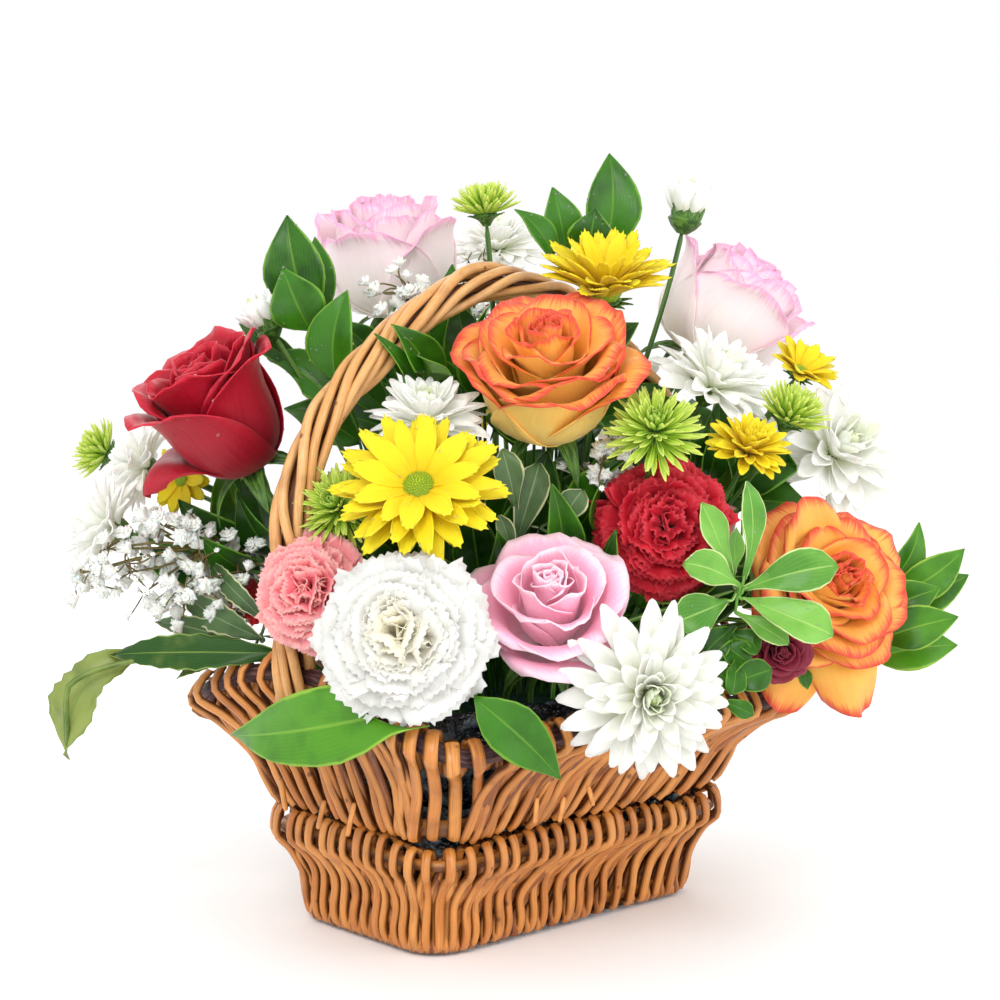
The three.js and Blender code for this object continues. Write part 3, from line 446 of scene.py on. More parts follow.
def onHoop(half, corner, share):  # a spot on a rounded rectangle, from the near corner round by the front
    straightX, straightY = 2 * (half[0] - corner), 2 * (half[1] - corner)
    arc = math.pi * corner / 2
    run = (share % 1) * (2 * (straightX + straightY) + 4 * arc) + arc / 2
    centreX, centreY = half[0] - corner, half[1] - corner
    legs = ((-1, -1, 180, straightX), (1, -1, 270, straightY), (1, 1, 0, straightX), (-1, 1, 90, straightY))
    for sx, sy, startAngle, straight in legs * 2:
        if run < arc:
            angle = math.radians(startAngle) + run / corner
            return np.array([sx * centreX + corner * math.cos(angle), sy * centreY + corner * math.sin(angle), 0])
        run -= arc
        if run < straight:
            angle = math.radians(startAngle + 90)
            start = np.array([sx * centreX + corner * math.cos(angle), sy * centreY + corner * math.sin(angle), 0])
            return start + np.array([-math.sin(angle), math.cos(angle), 0]) * run
        run -= straight
    return np.array([-half[0], -centreY, 0])


def outwardAt(half, corner, share):
    way = unit(onHoop(half, corner, share + 0.004) - onHoop(half, corner, share - 0.004))
    return np.array([way[1], -way[0], 0])


def rimZ(spot):
    halfX, halfY = basketSet["rimHalf"]
    onShort = abs(spot[0]) / halfX > abs(spot[1]) / halfY
    rise = basketSet["riseShort"] * max(0, 1 - (spot[1] / halfY) ** 2) if onShort \
        else basketSet["riseLong"] * max(0, 1 - (spot[0] / halfX) ** 2)
    return basketSet["rimHeight"] + rise


def rimSpot(share):
    spot = onHoop(basketSet["rimHalf"], basketSet["rimCorner"], share)
    spot[2] = rimZ(spot)
    return spot


def raised(spot, z):
    return np.array([spot[0], spot[1], z])


def leanAt(share):
    return basketSet["lean"] * np.clip(1.6 * math.sin(share * math.pi * 4), -1, 1)


stakeSheet = sheetTemplate("stake", 7, 34)
tierRng = np.random.default_rng(4)


def stakeCopy(path, out, tone, wide=1.0, flat=1.0):
    widths = np.array([0.8, 1, 1, 1, 1, 1.05, 1.1, 1.05, 0.9, 0.7]) * basketSet["stakeWide"] * wide
    depths = np.array([0.9, 1, 1, 1, 1, 0.85, 0.75, 0.85, 1, 0.8]) * basketSet["stakeDeep"] * flat
    return rodCopy(stakeSheet, path, widths, tone, deep=depths, facing=out)


# how the bowed legs stand out from the band, how high their middle is, and the loop's way out from the rod and up
upperSet = {"midOut": (0.009, 0.012), "midHeight": 0.078, "innerHeight": 0.084,
            "loop": ((0.0074, -0.0035), (0.004588, 0.0048), (0, 0.0076), (-0.004884, 0.0044), (-0.0074, -0.006))}
cornerLoops = (-1.5, -0.85, -0.2, 0.45, 1.25)  # flat loops round the near corner, counted in loops
# short loose shoots between the tiers: foot, tip, thickness
shoots = [
    ((-91, -98, 62), (-93, -84, 66), 0.55), ((-76, -104, 78), (-73, -92, 80), 0.5),
    ((-63, -106, 88), (-60, -92, 90), 0.5), ((14, -98, 112), (15, -88, 112), 0.45),
    ((24, -98, 108), (26, -88, 108), 0.45), ((38, -92, 100), (36, -84, 101), 0.45),
]


def buildUpperTier():
    pieces = []
    count = basketSet["stakes"]
    bandHalf, bandCorner = basketSet["bandHalf"], basketSet["bandCorner"]
    rimHalf, rimCorner = basketSet["rimHalf"], basketSet["rimCorner"]
    midHalf = np.add(bandHalf, upperSet["midOut"])
    loops = [((k + 0.5) / count, False) for k in range(2, count - 2)] + [(s / count, True) for s in cornerLoops]
    for share, atCorner in loops:
        jitter = 0 if atCorner else tierRng.uniform(-0.2, 0.2) / count
        shift = leanAt(share) * tierRng.uniform(0.9, 1.15)
        wide = 1.3 if atCorner else tierRng.uniform(0.86, 1.12)
        top = rimSpot(share + jitter)
        out = outwardAt(rimHalf, rimCorner, share)
        atHandle = abs(top[1]) < 0.012 and abs(top[0]) > 0.07
        midHeight = upperSet["midHeight"] + tierRng.uniform(-0.004, 0.003)
        over = [top + out * reach + (0, 0, rise) for reach, rise in upperSet["loop"]]
        for leg, (offset, deep) in enumerate(((0, 0.0), (0.5 / count, 0.0026), (0.25 / count, 0.005))):
            footShare = share + offset - shift * (1.05, 0.6, 0.85)[leg] + jitter * 0.3
            midShare = share + offset - shift * (0.6, 0.44, 0.5)[leg] + jitter * 0.6
            if atCorner:
                footShare, midShare = share * 1.5, share * 1.25
            outFoot = outwardAt(bandHalf, bandCorner, footShare)
            lowest = 0.0035 + tierRng.uniform(-0.001, 0.0015)
            foot = raised(onHoop(bandHalf, bandCorner, footShare), basketSet["bandHeight"] - lowest)
            mid = raised(onHoop(midHalf, bandCorner + 0.004, midShare), midHeight - leg * 0.003)
            path = [foot - outFoot * 0.004 + (0, 0, 0.001), foot + outFoot * (0.003 - deep),
                    foot * 0.55 + mid * 0.45 + outFoot * (0.0032 - deep), mid + outFoot * (0.002 - deep)]
            if leg == 0 and not atHandle:
                inner = raised(onHoop(midHalf, bandCorner, share), upperSet["innerHeight"]) - out * 0.0055
                path += [mid * 0.42 + top * 0.58 + out * 0.0042 + (0, 0, -0.001), *over, inner]
            elif not atCorner:
                beside = rimSpot(share + 0.42 / count)
                path += [mid * 0.45 + beside * 0.55 + out * 0.001, beside - out * 0.0045 + (0, 0, -0.008),
                         beside - out * 0.0065 + (0, 0, -0.001)]
            if leg == 0 or not atCorner:
                # the tone falls by 0.3 for each leg behind the first: painted shade on the legs that lie behind
                pieces.append(stakeCopy(path, out, tierRng.uniform(0.25, 1) - leg * 0.3, wide,
                                        0.6 if atCorner else 1))
    for place, tip, wide in shoots:
        start, end = placeOf(place), placeOf(tip)
        pieces.append(stakeCopy([start, (start + end) / 2 + toward * 0.001, end], toward, 0.8, wide))
    return seamless(pieces, "upperTier")


# how the foot and the bowed middle stand out from the base, and the same heights as above
lowerSet = {"footOut": 0.0065, "midOut": (0.008, 0.009), "midHeight": 0.023, "innerHeight": 0.028,
            "cornerOut": 0.005,
            "loop": ((0.0055, -0.003), (0.0044, 0.0038), (0, 0.0055), (-0.00363, 0.003), (-0.0055, -0.005))}


def buildLowerTier():
    pieces = []
    count = basketSet["stakes"]
    baseHalf, hoopHalf = basketSet["baseHalf"], basketSet["hoopHalf"]
    footHalf, midHalf = np.add(baseHalf, lowerSet["footOut"]), np.add(baseHalf, lowerSet["midOut"])
    corner, hoopCorner = basketSet["baseCorner"] + lowerSet["cornerOut"], basketSet["bandCorner"]
    for k in range(count):
        share = (k + 0.5) / count
        jitter = tierRng.uniform(-0.2, 0.2) / count
        shift = leanAt(share) * tierRng.uniform(0.8, 1.2)
        wide = tierRng.uniform(0.84, 1.08)
        out = outwardAt(hoopHalf, hoopCorner, share)
        lift = 0.0035 * abs(leanAt(share)) / basketSet["lean"] + tierRng.uniform(-0.0006, 0.001)
        top = raised(onHoop(hoopHalf, hoopCorner, share + jitter), basketSet["hoopHeight"])
        over = [top + out * reach + (0, 0, rise + lift * (rise > 0)) for reach, rise in lowerSet["loop"]]
        midHeight = lowerSet["midHeight"] + tierRng.uniform(-0.002, 0.003)
        for leg, (offset, deep) in enumerate(((0, 0.0), (0.5 / count, 0.003), (0.25 / count, 0.005))):
            footShare = share + offset - shift * (0.5, 0.84, 0.66)[leg] + jitter * 0.3
            outFoot = outwardAt(footHalf, corner, footShare)
            foot = raised(onHoop(footHalf, corner, footShare), 0.0022)
            mid = raised(onHoop(midHalf, corner, share + offset - shift * (0.6, 0.4, 0.5)[leg]),
                         midHeight - leg * 0.002)
            path = [foot - outFoot * 0.007 + (0, 0, 0.0008), foot - outFoot * 0.0005 + (0, 0, 0.001),
                    foot + outFoot * (0.002 - deep) + (0, 0, 0.008), mid + outFoot * (0.0014 - deep)]
            if leg == 0:
                inner = raised(onHoop(midHalf, corner, share + 0.4 / count), lowerSet["innerHeight"]) - out * 0.0065
                path += [mid * 0.45 + top * 0.55 + out * 0.003, *over, inner]
            else:
                beside = raised(onHoop(hoopHalf, hoopCorner, share + 0.4 / count), basketSet["hoopHeight"])
                path += [mid * 0.5 + beside * 0.5 + out * 0.0008, beside - out * 0.0035 + (0, 0, -0.003),
                         beside - out * 0.005 + (0, 0, 0.003)]
            # the tone falls by 0.3 for each leg behind the first: painted shade on the legs that lie behind
            pieces.append(stakeCopy(path, out, tierRng.uniform(0.25, 1) - leg * 0.3, wide))
    return seamless(pieces, "lowerTier")


dress(buildUpperTier(), willowRods, "willow", "upper_weave")
dress(buildLowerTier(), willowRods, "willow", "lower_weave")


def hoopPath(half, corner, height, count=72):  # evenly round a rounded rectangle
    return [raised(onHoop(half, corner, k / count), height) for k in range(count)]


hoopSheet = sheetTemplate("hoop", 12, 150)
hoopRods = {  # half sizes, corner, height, width, depth, tone
    "bandRod": (basketSet["bandHalf"], basketSet["bandCorner"], basketSet["bandHeight"], 0.0075, 0.0048, 0.75),
    "footRod": ((0.0795, 0.045), 0.016, 0.0075, 0.006, 0.0055, 0.3),
}
bandPieces = [rodCopy(hoopSheet, hoopPath(half, corner, height), deep, tone, deep=wide,
                      facing=np.array([0, 0, 1.0]), closed=True)
              for half, corner, height, wide, deep, tone in hoopRods.values()]
dress(seamless(bandPieces, "bandRods"), willowRods, "willow")
lowerHoop = rodCopy(hoopSheet, hoopPath(basketSet["hoopHalf"], basketSet["bandCorner"], basketSet["hoopHeight"]),
                    2 * basketSet["hoopRadius"], 0.75, closed=True)
dress(seamless([lowerHoop], "lowerHoop"), willowRods, "willow_light", "lower_hoop")


def barkFinish():
    bark = Finish("darkBark")
    around, along = bark.shares()
    streak = bark.streaks(bark.times(around, 16.0), bark.times(along, 46.0), detail=5.0, rough=0.65)
    cloud = bark.noise(bark.spot(), 90.0, 3.0)
    body = bark.ramp(streak, (0.34, "1c0d0c"), (0.5, "48292c"), (0.66, "8c635a"))
    body = bark.over(body, "2c1719", bark.band(cloud, 0.5, 0.7), 0.7)
    bark.bump(streak, 0.8, 0.0012)
    return bark.surface(Base_Color=body, Roughness=0.5, Specular_IOR_Level=0.4)


rimRod = rodCopy(hoopSheet, [rimSpot(k / 72) for k in range(72)], 2 * basketSet["rimRadius"], closed=True)
dress(seamless([rimRod], "rimRod"), barkFinish(), "rod_dark", "rim_rod")


def handlePath():
    foot, reach, top = basketSet["handleFoot"], basketSet["handleReach"], basketSet["handleTop"]
    half = [(foot, 0.103), (foot, 0.118), (foot, 0.134), (reach, 0.156), (reach, 0.184),
            (0.111, 0.208), (0.099, 0.228), (0.080, 0.248), (0.056, 0.266), (0.028, 0.279)]
    left = [np.array([-x, 0, z]) for x, z in half]
    return left + [np.array([0, 0, top])] + [np.array([x, 0, z]) for x, z in reversed(half)]


handleSet = {"rods": 7, "rodWide": 0.0046, "ropeRadius": 0.0060, "turns": 3.1, "coreWide": 0.0062}


def buildHandle():
    rodSheet = sheetTemplate("handleRod", 9, 200)
    spine = smoothPath(handlePath(), 240)
    tangent = np.gradient(spine, axis=0)
    tangent /= np.linalg.norm(tangent, axis=1, keepdims=True)
    side = np.array([0, 1.0, 0])
    normal = np.cross(side, tangent)
    run = np.linspace(0, 1, 240)
    pieces, coreShade = [], []
    rng = np.random.default_rng(8)
    for k in range(handleSet["rods"]):
        wander = 0.16 * np.sin(run * 23 + k * 2.1) + 0.1 * np.sin(run * 51 + k * 4.7)
        angle = 2 * math.pi * (k / handleSet["rods"] + handleSet["turns"] * run) + wander
        loose = handleSet["ropeRadius"] * (1 + 0.13 * np.sin(run * 31 + k * 2.6) + (0.2 if k == 2 else 0))
        strand = spine + side * (np.cos(angle) * loose)[:, None] + normal * (np.sin(angle) * loose)[:, None]
        spots = rodSpots(rodSheet, [*strand[::3], strand[-1]], handleSet["rodWide"] * rng.uniform(0.85, 1.15))
        pieces.append(copySheet(rodSheet, spots, rng.uniform(0.4, 1)))
        # painted shade: each strand darkens towards the rope's core, kept in the inner attribute
        middle = smoothPath([*spine[::3], spine[-1]], rodSheet["rows"] + 1)[:, None, :]
        far = np.linalg.norm(spots - middle, axis=-1)
        coreShade.append(1 - smoothStep(handleSet["ropeRadius"] * 0.62, handleSet["ropeRadius"] * 1.05, far))
    # the core rod inside the rope gets the darkest tone and full painted shade
    pieces.append(rodCopy(rodSheet, [*spine[::4], spine[-1]], handleSet["coreWide"], 0.0))
    coreShade.append(np.ones_like(coreShade[0]))
    for piece, inner in zip(pieces, coreShade):
        addAttribute(piece, "inner", inner.ravel())
    return seamless(pieces, "archHandle")


dress(buildHandle(), handleWillow, "willow_light", "handle")
print("basket done")


def foamFinish():
    foam = Finish("wetFoam")
    spot = foam.spot()
    grain = foam.noise(spot, 900.0, 3.0, 0.7)
    body = foam.ramp(grain, (0.3, "0c2a24"), (0.6, "1b4a3c"), (0.8, "2b6351"))
    foam.bump(foam.plus(grain, foam.cells(spot, 420.0)), 0.7, 0.0015)
    return foam.surface(Base_Color=body, Roughness=0.8, Specular_IOR_Level=0.3)


def filmFinish():
    film = Finish("darkFilm")
    spot = film.spot()
    creaseShading = film.noise(spot, 110.0, 3.0, 0.6)
    # the pale grey-blue stops are painted reflection on the crumpled facets; the darkest stop is the film's own black
    body = film.ramp(creaseShading, (0.38, "0b1114"), (0.52, "25343b"), (0.66, "8295a0"))
    film.bump(creaseShading, 1.0, 0.008)
    return film.surface(Base_Color=body, Roughness=0.14, Specular_IOR_Level=0.9)


filmSet = {"low": 0.028, "high": 0.064, "corner": 0.014, "crumple": 0.0013, "thick": 0.0004,
           "halfX": (0.0725, 0.0785, 0.0775), "halfY": (0.0405, 0.049, 0.0535)}
filmSheet = sheetTemplate("filmBand", 96, 8)


def buildFilmBand():  # where the film bulges out between the tiers
    u, v = sheetShares(filmSheet)
    spots = np.empty((*u.shape, 3))
    for row, column in np.ndindex(u.shape):
        level = v[row, column]
        half = [np.interp(level, (0, 0.45, 1), filmSet[side]) for side in ("halfX", "halfY")]
        hoopSpot = onHoop(half, filmSet["corner"], (u[row, column] + 1) / 2)
        spots[row, column] = raised(hoopSpot, filmSet["low"] + (filmSet["high"] - filmSet["low"]) * level)
    ways = spots / np.linalg.norm(spots[:, :, :2], axis=2, keepdims=True) * (1, 1, 0)
    spots = spots + ways * (filmSet["crumple"] * waver(ways[:, :, 0] * 14, ways[:, :, 1] * 14 + v * 5, 8))[..., None]
    band = seamless([copySheet(filmSheet, spots)], "filmBand")
    thicken(band, filmSet["thick"])
    return band


darkFilm = filmFinish()
dress(buildFilmBand(), darkFilm, "film")
for nodeName, finish in {"foam": foamFinish(), "liner": darkFilm, "basket_floor": willowRods}.items():
    node = frame["nodes"][nodeName]
    node.data.materials.clear()
    node.data.materials.append(finish)


# name: kind, place, the way it faces, radius in millimetres, paint
blooms = {
    "carnation_white": ("carnation", (-39, -22, 132), (-0.1, 0.05, 1), 36, "white"),
    "mum_white_front": ("mum", (60, -46, 124), (0.12, -0.12, 1), 37, "white"),
    "rose_pink": ("rose", (21, -10, 100), (0, 0.66, 0.75), 34, "pink"),
    "daisy_yellow_front": ("daisy", (-33, 38, 108), (-0.1, 0.55, 0.83), 38, "yellow"),
    "carnation_coral": ("carnation", (-79, -5, 96), (-0.35, 0.1, 0.93), 26, "coral"),
    "button_green_low": ("button", (-68, 31, 88), (-0.35, 0.35, 0.87), 20, "green"),
    "button_green_mid": ("button", (65, 64, 84), (0, 0.6, 0.8), 21, "green"),
    "rose_orange_top": ("rose", (20, 93, 70), (-0.06, 0.75, 0.66), 40, "orange"),
    "carnation_red": ("carnation", (71, 22, 60), (0.1, 0.1, 1), 32, "scarlet"),
    "mum_white_upper": ("smallMum", (-31, 71, 68), (0, 0.85, 0.5), 24, "white"),
    "rose_burgundy": ("rose", (120, -30, 54), (0.2, -0.2, 0.95), 15, "burgundy"),
    "rose_orange_right": ("rose", (147, -3, 26), (0.35, 0.35, 0.87), 37, "orange"),
    "daisy_yellow_right": ("smallMum", (109, 59, 44), (0.25, 0.8, 0.55), 18, "yellow"),
    "button_green_right": ("button", (130, 75, 27), (0.4, 0.8, 0.4), 17.5, "green"),
    "rose_red": ("rose", (-121, 72, 40), (-0.42, 0.82, 0.42), 36, "red"),
    "daisy_yellow_top": ("daisy", (46, 129, 34), (0.05, 0.85, 0.52), 34.5, "yellow"),
    "mum_white_tall": ("smallMum", (98, 92, 16), (0.45, 0.8, 0.4), 28, "white"),
    "daisy_yellow_far": ("daisy", (138, 96, -6), (0.4, 0.7, 0.6), 19, "yellow"),
    "mum_white_right": ("smallMum", (159, 62, -24), (0.42, 0.36, 0.83), 34, "white"),
    "rose_blush_right": ("rose", (109, 129, -50), (0.55, 0.75, 0.3), 36, "blush"),
    "rose_blush_left": ("rose", (-54, 154, -48), (-0.12, 0.92, 0.35), 36, "blush"),
    "mum_white_back": ("smallMum", (-1, 168, -80), (0, 0.8, 0.5), 24, "white"),
    "daisy_yellow_left": ("daisy", (-146, 46, -6), (-0.5, 0.1, 0.8), 18, "yellow"),
    "mum_white_left_low": ("smallMum", (-180, 25, 8), (-0.86, 0.3, 0.12), 25, "white"),
    "mum_white_left_high": ("smallMum", (-170, 54, -26), (-0.94, 0.28, 0.05), 21, "white"),
    "button_green_left": ("button", (-193, 62, -54), (-0.85, 0.4, 0.2), 16, "green"),
    "button_green_top": ("button", (-7, 170, 10), (-0.1, 0.95, 0.2), 16, "green"),
    "bud_white_left": ("bud", (-105, 116, 30), (-0.5, 0.8, 0.2), 9, "white"),
    "bud_white_right": ("bud", (88, 175, -25), (0.2, 0.95, 0.1), 11, "white"),
    "rose_orange_back": ("rose", (-62, 30, -100), (-0.5, 0.3, -0.85), 35, "orange"),
    "carnation_white_back": ("carnation", (18, 12, -126), (0.1, 0.1, -1), 34, "white"),
    "rose_pink_back": ("rose", (88, 34, -104), (0.5, 0.3, -0.8), 34, "pink"),
    "daisy_yellow_back": ("daisy", (-18, 92, -100), (-0.1, 0.5, -0.85), 34, "yellow"),
    "mum_white_back_mid": ("smallMum", (58, 96, -104), (0.3, 0.5, -0.8), 30, "white"),
    "carnation_red_back": ("carnation", (-128, 8, -78), (-0.8, 0.1, -0.6), 29, "scarlet"),
    "mum_white_far": ("mum", (148, -9, -72), (0.8, 0, -0.6), 33, "white"),
}
depthOf = {"rose": 0.84, "carnation": 0.6, "daisy": 0.3, "mum": 0.45, "smallMum": 0.55, "button": 0.6,
           "bud": 1.15}
heads = {name: headFrame(spot, facing, i * 1.3)
         for i, (name, (kind, spot, facing, r, paint)) in enumerate(blooms.items())}


def petalFinish(name, foot, middle, lip, rim=None, rimFrom=0.86, back=None, centre=None, vein=0.25,
                rough=0.5, patch=0.3, paintedGlow=0.0):
    petal = Finish(name)
    across, along = petal.shares()
    tone = petal.attribute("tone")
    streak = petal.streaks(petal.times(across, 46.0), petal.times(along, 2.6), petal.times(tone, 31.0))
    cloud = petal.noise(petal.spot(), 95.0, 3.0, 0.6)
    wander = petal.plus(along, petal.times(petal.minus(cloud, 0.5), patch))
    body = petal.ramp(wander, (0.0, foot), (0.5, middle), (0.95, lip))
    if back:
        body = petal.mix(petal.attribute("rear"), body, petal.ramp(wander, (0.25, back[0]), (0.95, back[1])))
    if centre:
        body = petal.over(body, centre, petal.fade(tone, 0.05, 0.5), 0.85)
    body = petal.mix(petal.times(petal.band(streak, 0.5, 0.72), vein), body, tint(middle), "MULTIPLY")
    if rim:
        reach = petal.math("MAXIMUM", along, petal.times(petal.fromMiddle(across), petal.band(along, 0.3, 0.9)))
        reach = petal.plus(reach, petal.times(petal.minus(streak, 0.5), 0.2))
        body = petal.over(body, rim, petal.band(reach, rimFrom, 1.0))
    petal.bump(petal.plus(streak, cloud), 0.4, 0.0007)
    # the emission is a painted glow that lifts the shade on pale petals
    return petal.surface(Base_Color=body, Roughness=rough, Specular_IOR_Level=0.3, Subsurface_Weight=0.15,
                         Subsurface_Scale=0.003, Subsurface_Radius=(1.0, 0.6, 0.4),
                         Sheen_Weight=0.1, Sheen_Roughness=0.4, Emission_Color=(1, 0.99, 0.95, 1),
                         Emission_Strength=paintedGlow)


petalPaints = {
    "orange": petalFinish("orangeRose", "ffd860", "ffc656", "ffaa54", "e24c38", 0.88, ("ffe080", "ffcc62"),
                          "fb9650", patch=0.5),
    "pink": petalFinish("pinkRose", "fddce6", "fda8c6", "feb2ce", "fed6e4", 0.84, ("fedde8", "fdb8d2"), "ee66a2",
                        paintedGlow=0.03),
    "red": petalFinish("redRose", "7d071a", "9c0a22", "b41029", "cb2038", 0.93, ("900a20", "ad1029"), "a00c24",
                       rough=0.4),
    "blush": petalFinish("blushRose", "f7efe4", "f8eae6", "f8dce6", "f0a8cc", 0.9, ("faf3e8", "f7dfe7"),
                         "f3bcd3", paintedGlow=0.04),
    "burgundy": petalFinish("burgundyRose", "52091e", "701029", "862038"),
    "carnationWhite": petalFinish("whiteCarnation", "e2d9b4", "dedbd0", "e4e3de", None, 0.9, None, "ece4c6",
                                  vein=0.06, rough=0.65, paintedGlow=0.02),
    "coral": petalFinish("coralCarnation", "e2566a", "f07c88", "f69a9e", "fab2ae", 0.9, None, "e96a78", rough=0.6),
    "scarlet": petalFinish("scarletCarnation", "7c0419", "ac0b23", "c81129", "d93444", 0.93, None, "960820",
                           rough=0.6),
    "yellow": petalFinish("yellowDaisy", "ecc400", "f6d70c", "fae622", None, 0.9, ("ebc90e", "f4da26"), vein=0.35),
    "white": petalFinish("whiteMum", "e0e8b0", "f4f5ec", "fafaf6", None, 0.9, None, "bdd266", vein=0.1, paintedGlow=0.07),
    "mumWhite": petalFinish("whiteRays", "ccd87e", "efefe2", "f6f6f0", None, 0.9, None, "a8c440", vein=0.22,
                            paintedGlow=0.015),
    "green": petalFinish("greenButton", "8fbe2e", "b4d840", "d8ea70", None, 0.9, None, "86bc34", vein=0.2),
}


def discFinish():
    disc = Finish("daisyDisc")
    grain = disc.noise(disc.spot(), 900.0, 2.0)
    body = disc.mix(disc.attribute("tone"), tint("7fa31f"), tint("d3dc3c"))
    body = disc.over(body, "5d8a1e", disc.band(grain, 0.45, 0.7), 0.4)
    disc.bump(grain, 0.4, 0.0005)
    return disc.surface(Base_Color=body, Roughness=0.6, Specular_IOR_Level=0.3)


def stemFinish(name, light, dark):
    stem = Finish(name)
    around, along = stem.shares()
    streak = stem.streaks(stem.times(around, 9.0), stem.times(along, 5.0), stem.attribute("tone"), rough=0.5)
    body = stem.mix(stem.band(streak, 0.35, 0.65), tint(dark), tint(light))
    body = stem.over(body, dark, stem.band(stem.noise(stem.spot(), 60.0), 0.5, 0.8), 0.5)
    stem.bump(streak, 0.3, 0.0005)
    return stem.surface(Base_Color=body, Roughness=0.48, Specular_IOR_Level=0.4)


discGreen = discFinish()
stemGreen = stemFinish("greenStem", "66913a", "2c541d")
stemRng = np.random.default_rng(3)


def spun(radial, side, z, turn):
    return np.stack([radial * math.cos(turn) - side * math.sin(turn),
                     radial * math.sin(turn) + side * math.cos(turn), z], axis=-1)


def spineOf(start, foot, long, rise):  # rise in degrees above the level, from foot to tip
    rows = np.linspace(0, 1, 41)
    lift = np.radians(spread(rows, rise))
    step = long / 40
    radial = start + np.concatenate([[0], np.cumsum(np.cos(lift[1:]) * step)])
    z = foot + np.concatenate([[0], np.cumsum(np.sin(lift[1:]) * step)])
    return rows, lift, radial, z


def raySpots(template, turn, start, foot, long, wide, rise, outline, curl=(0.6,), ridge=0.0, roundTip=0.1,
             notch=0.0, sweep=0.0, twist=0.0):
    u, v = sheetShares(template)
    rows, lift, radial, z = spineOf(start, foot, long, rise)
    reach = v * (1 - roundTip * u ** 2 - notch * (1 - np.cos(3 * math.pi * u)) / 2)
    lift, radial, z = (np.interp(reach, rows, line) for line in (lift, radial, z))
    half = wide * spread(v, outline)
    bend = np.maximum(spread(v, curl), 0.02)
    side = half * np.sin(u * bend) / bend
    rise = half * (1 - np.cos(u * bend)) / bend + ridge * half * np.cos(4 * math.pi * u) * v
    roll = twist * v
    side, rise = side * np.cos(roll) - rise * np.sin(roll), side * np.sin(roll) + rise * np.cos(roll)
    side = side + sweep * long * v ** 2
    return spun(radial - rise * np.sin(lift), side, z + rise * np.cos(lift), turn)


# a cupped petal: rounding of its shoulders, width of its point, narrowest curl, waves of its face and of its lip
cupShape = {"shoulder": 0.11, "point": 0.22, "curl": 0.055, "wave": 0.035, "lipWave": 0.05, "lipRuffle": 0.02}


def cuppedSpots(template, turn, petal, seed, size=1.0, opened=0.0):
    start, foot, long, wide, lean, cup, roll, tip = petal
    u, v = sheetShares(template)
    rows, lift, radial, z = spineOf(start, foot, long * size, [90 - a - opened for a in lean])
    point = tip * (1 - np.exp(-(u / cupShape["point"]) ** 2))
    reach = v * (1 - cupShape["shoulder"] * np.abs(u) ** 3.2 - point)
    lift, radial, z = (np.interp(reach, rows, line) for line in (lift, radial, z))
    half = wide * size * np.sqrt(np.sin(math.pi * (0.09 + 0.78 * v)))
    bowl = np.maximum(cup * radial, cupShape["curl"])
    bend = np.clip(u * half / bowl, -2.8, 2.8)
    push = roll * np.abs(u) ** 3 * v + cupShape["wave"] * waver(u * 2.6, v * 2.2, seed) * v
    push = push + cupShape["lipWave"] * smoothStep(0.6, 1, v) * np.sin(u * 4.3 + seed)
    push = push + cupShape["lipRuffle"] * smoothStep(0.8, 1, v) * np.sin(u * 11 + seed * 2)
    outwards = push * np.sin(lift)
    side = (bowl + outwards) * np.sin(bend)
    radial = radial - bowl * (1 - np.cos(bend)) + outwards * np.cos(bend)
    return spun(radial, side, z - push * np.cos(lift), turn)


roseSheet = sheetTemplate("rosePetal", 12, 14)
rayPetal = sheetTemplate("rayPetal", 8, 12)
quill = sheetTemplate("quill", 4, 7)
frill = sheetTemplate("frilledPetal", 24, 7)
stemSheet = sheetTemplate("stem", 8, 26)
seedSheet = sheetTemplate("seedlet", 5, 3)


def headCopy(template, head, r, spots, tone):  # a copy on its head, from spots in head radii
    axes, middle = head
    return copySheet(template, (spots * r) @ axes + middle, tone)


def shell(pieces, name, thickness, rearFirst=True):  # gives the sheets their thickness and marks their rear side
    piece = joinCopies(pieces, name)
    thicken(piece, thickness)
    count = len(piece.data.vertices)
    addAttribute(piece, "rear", (np.arange(count) >= count // 2) != rearFirst)
    return piece


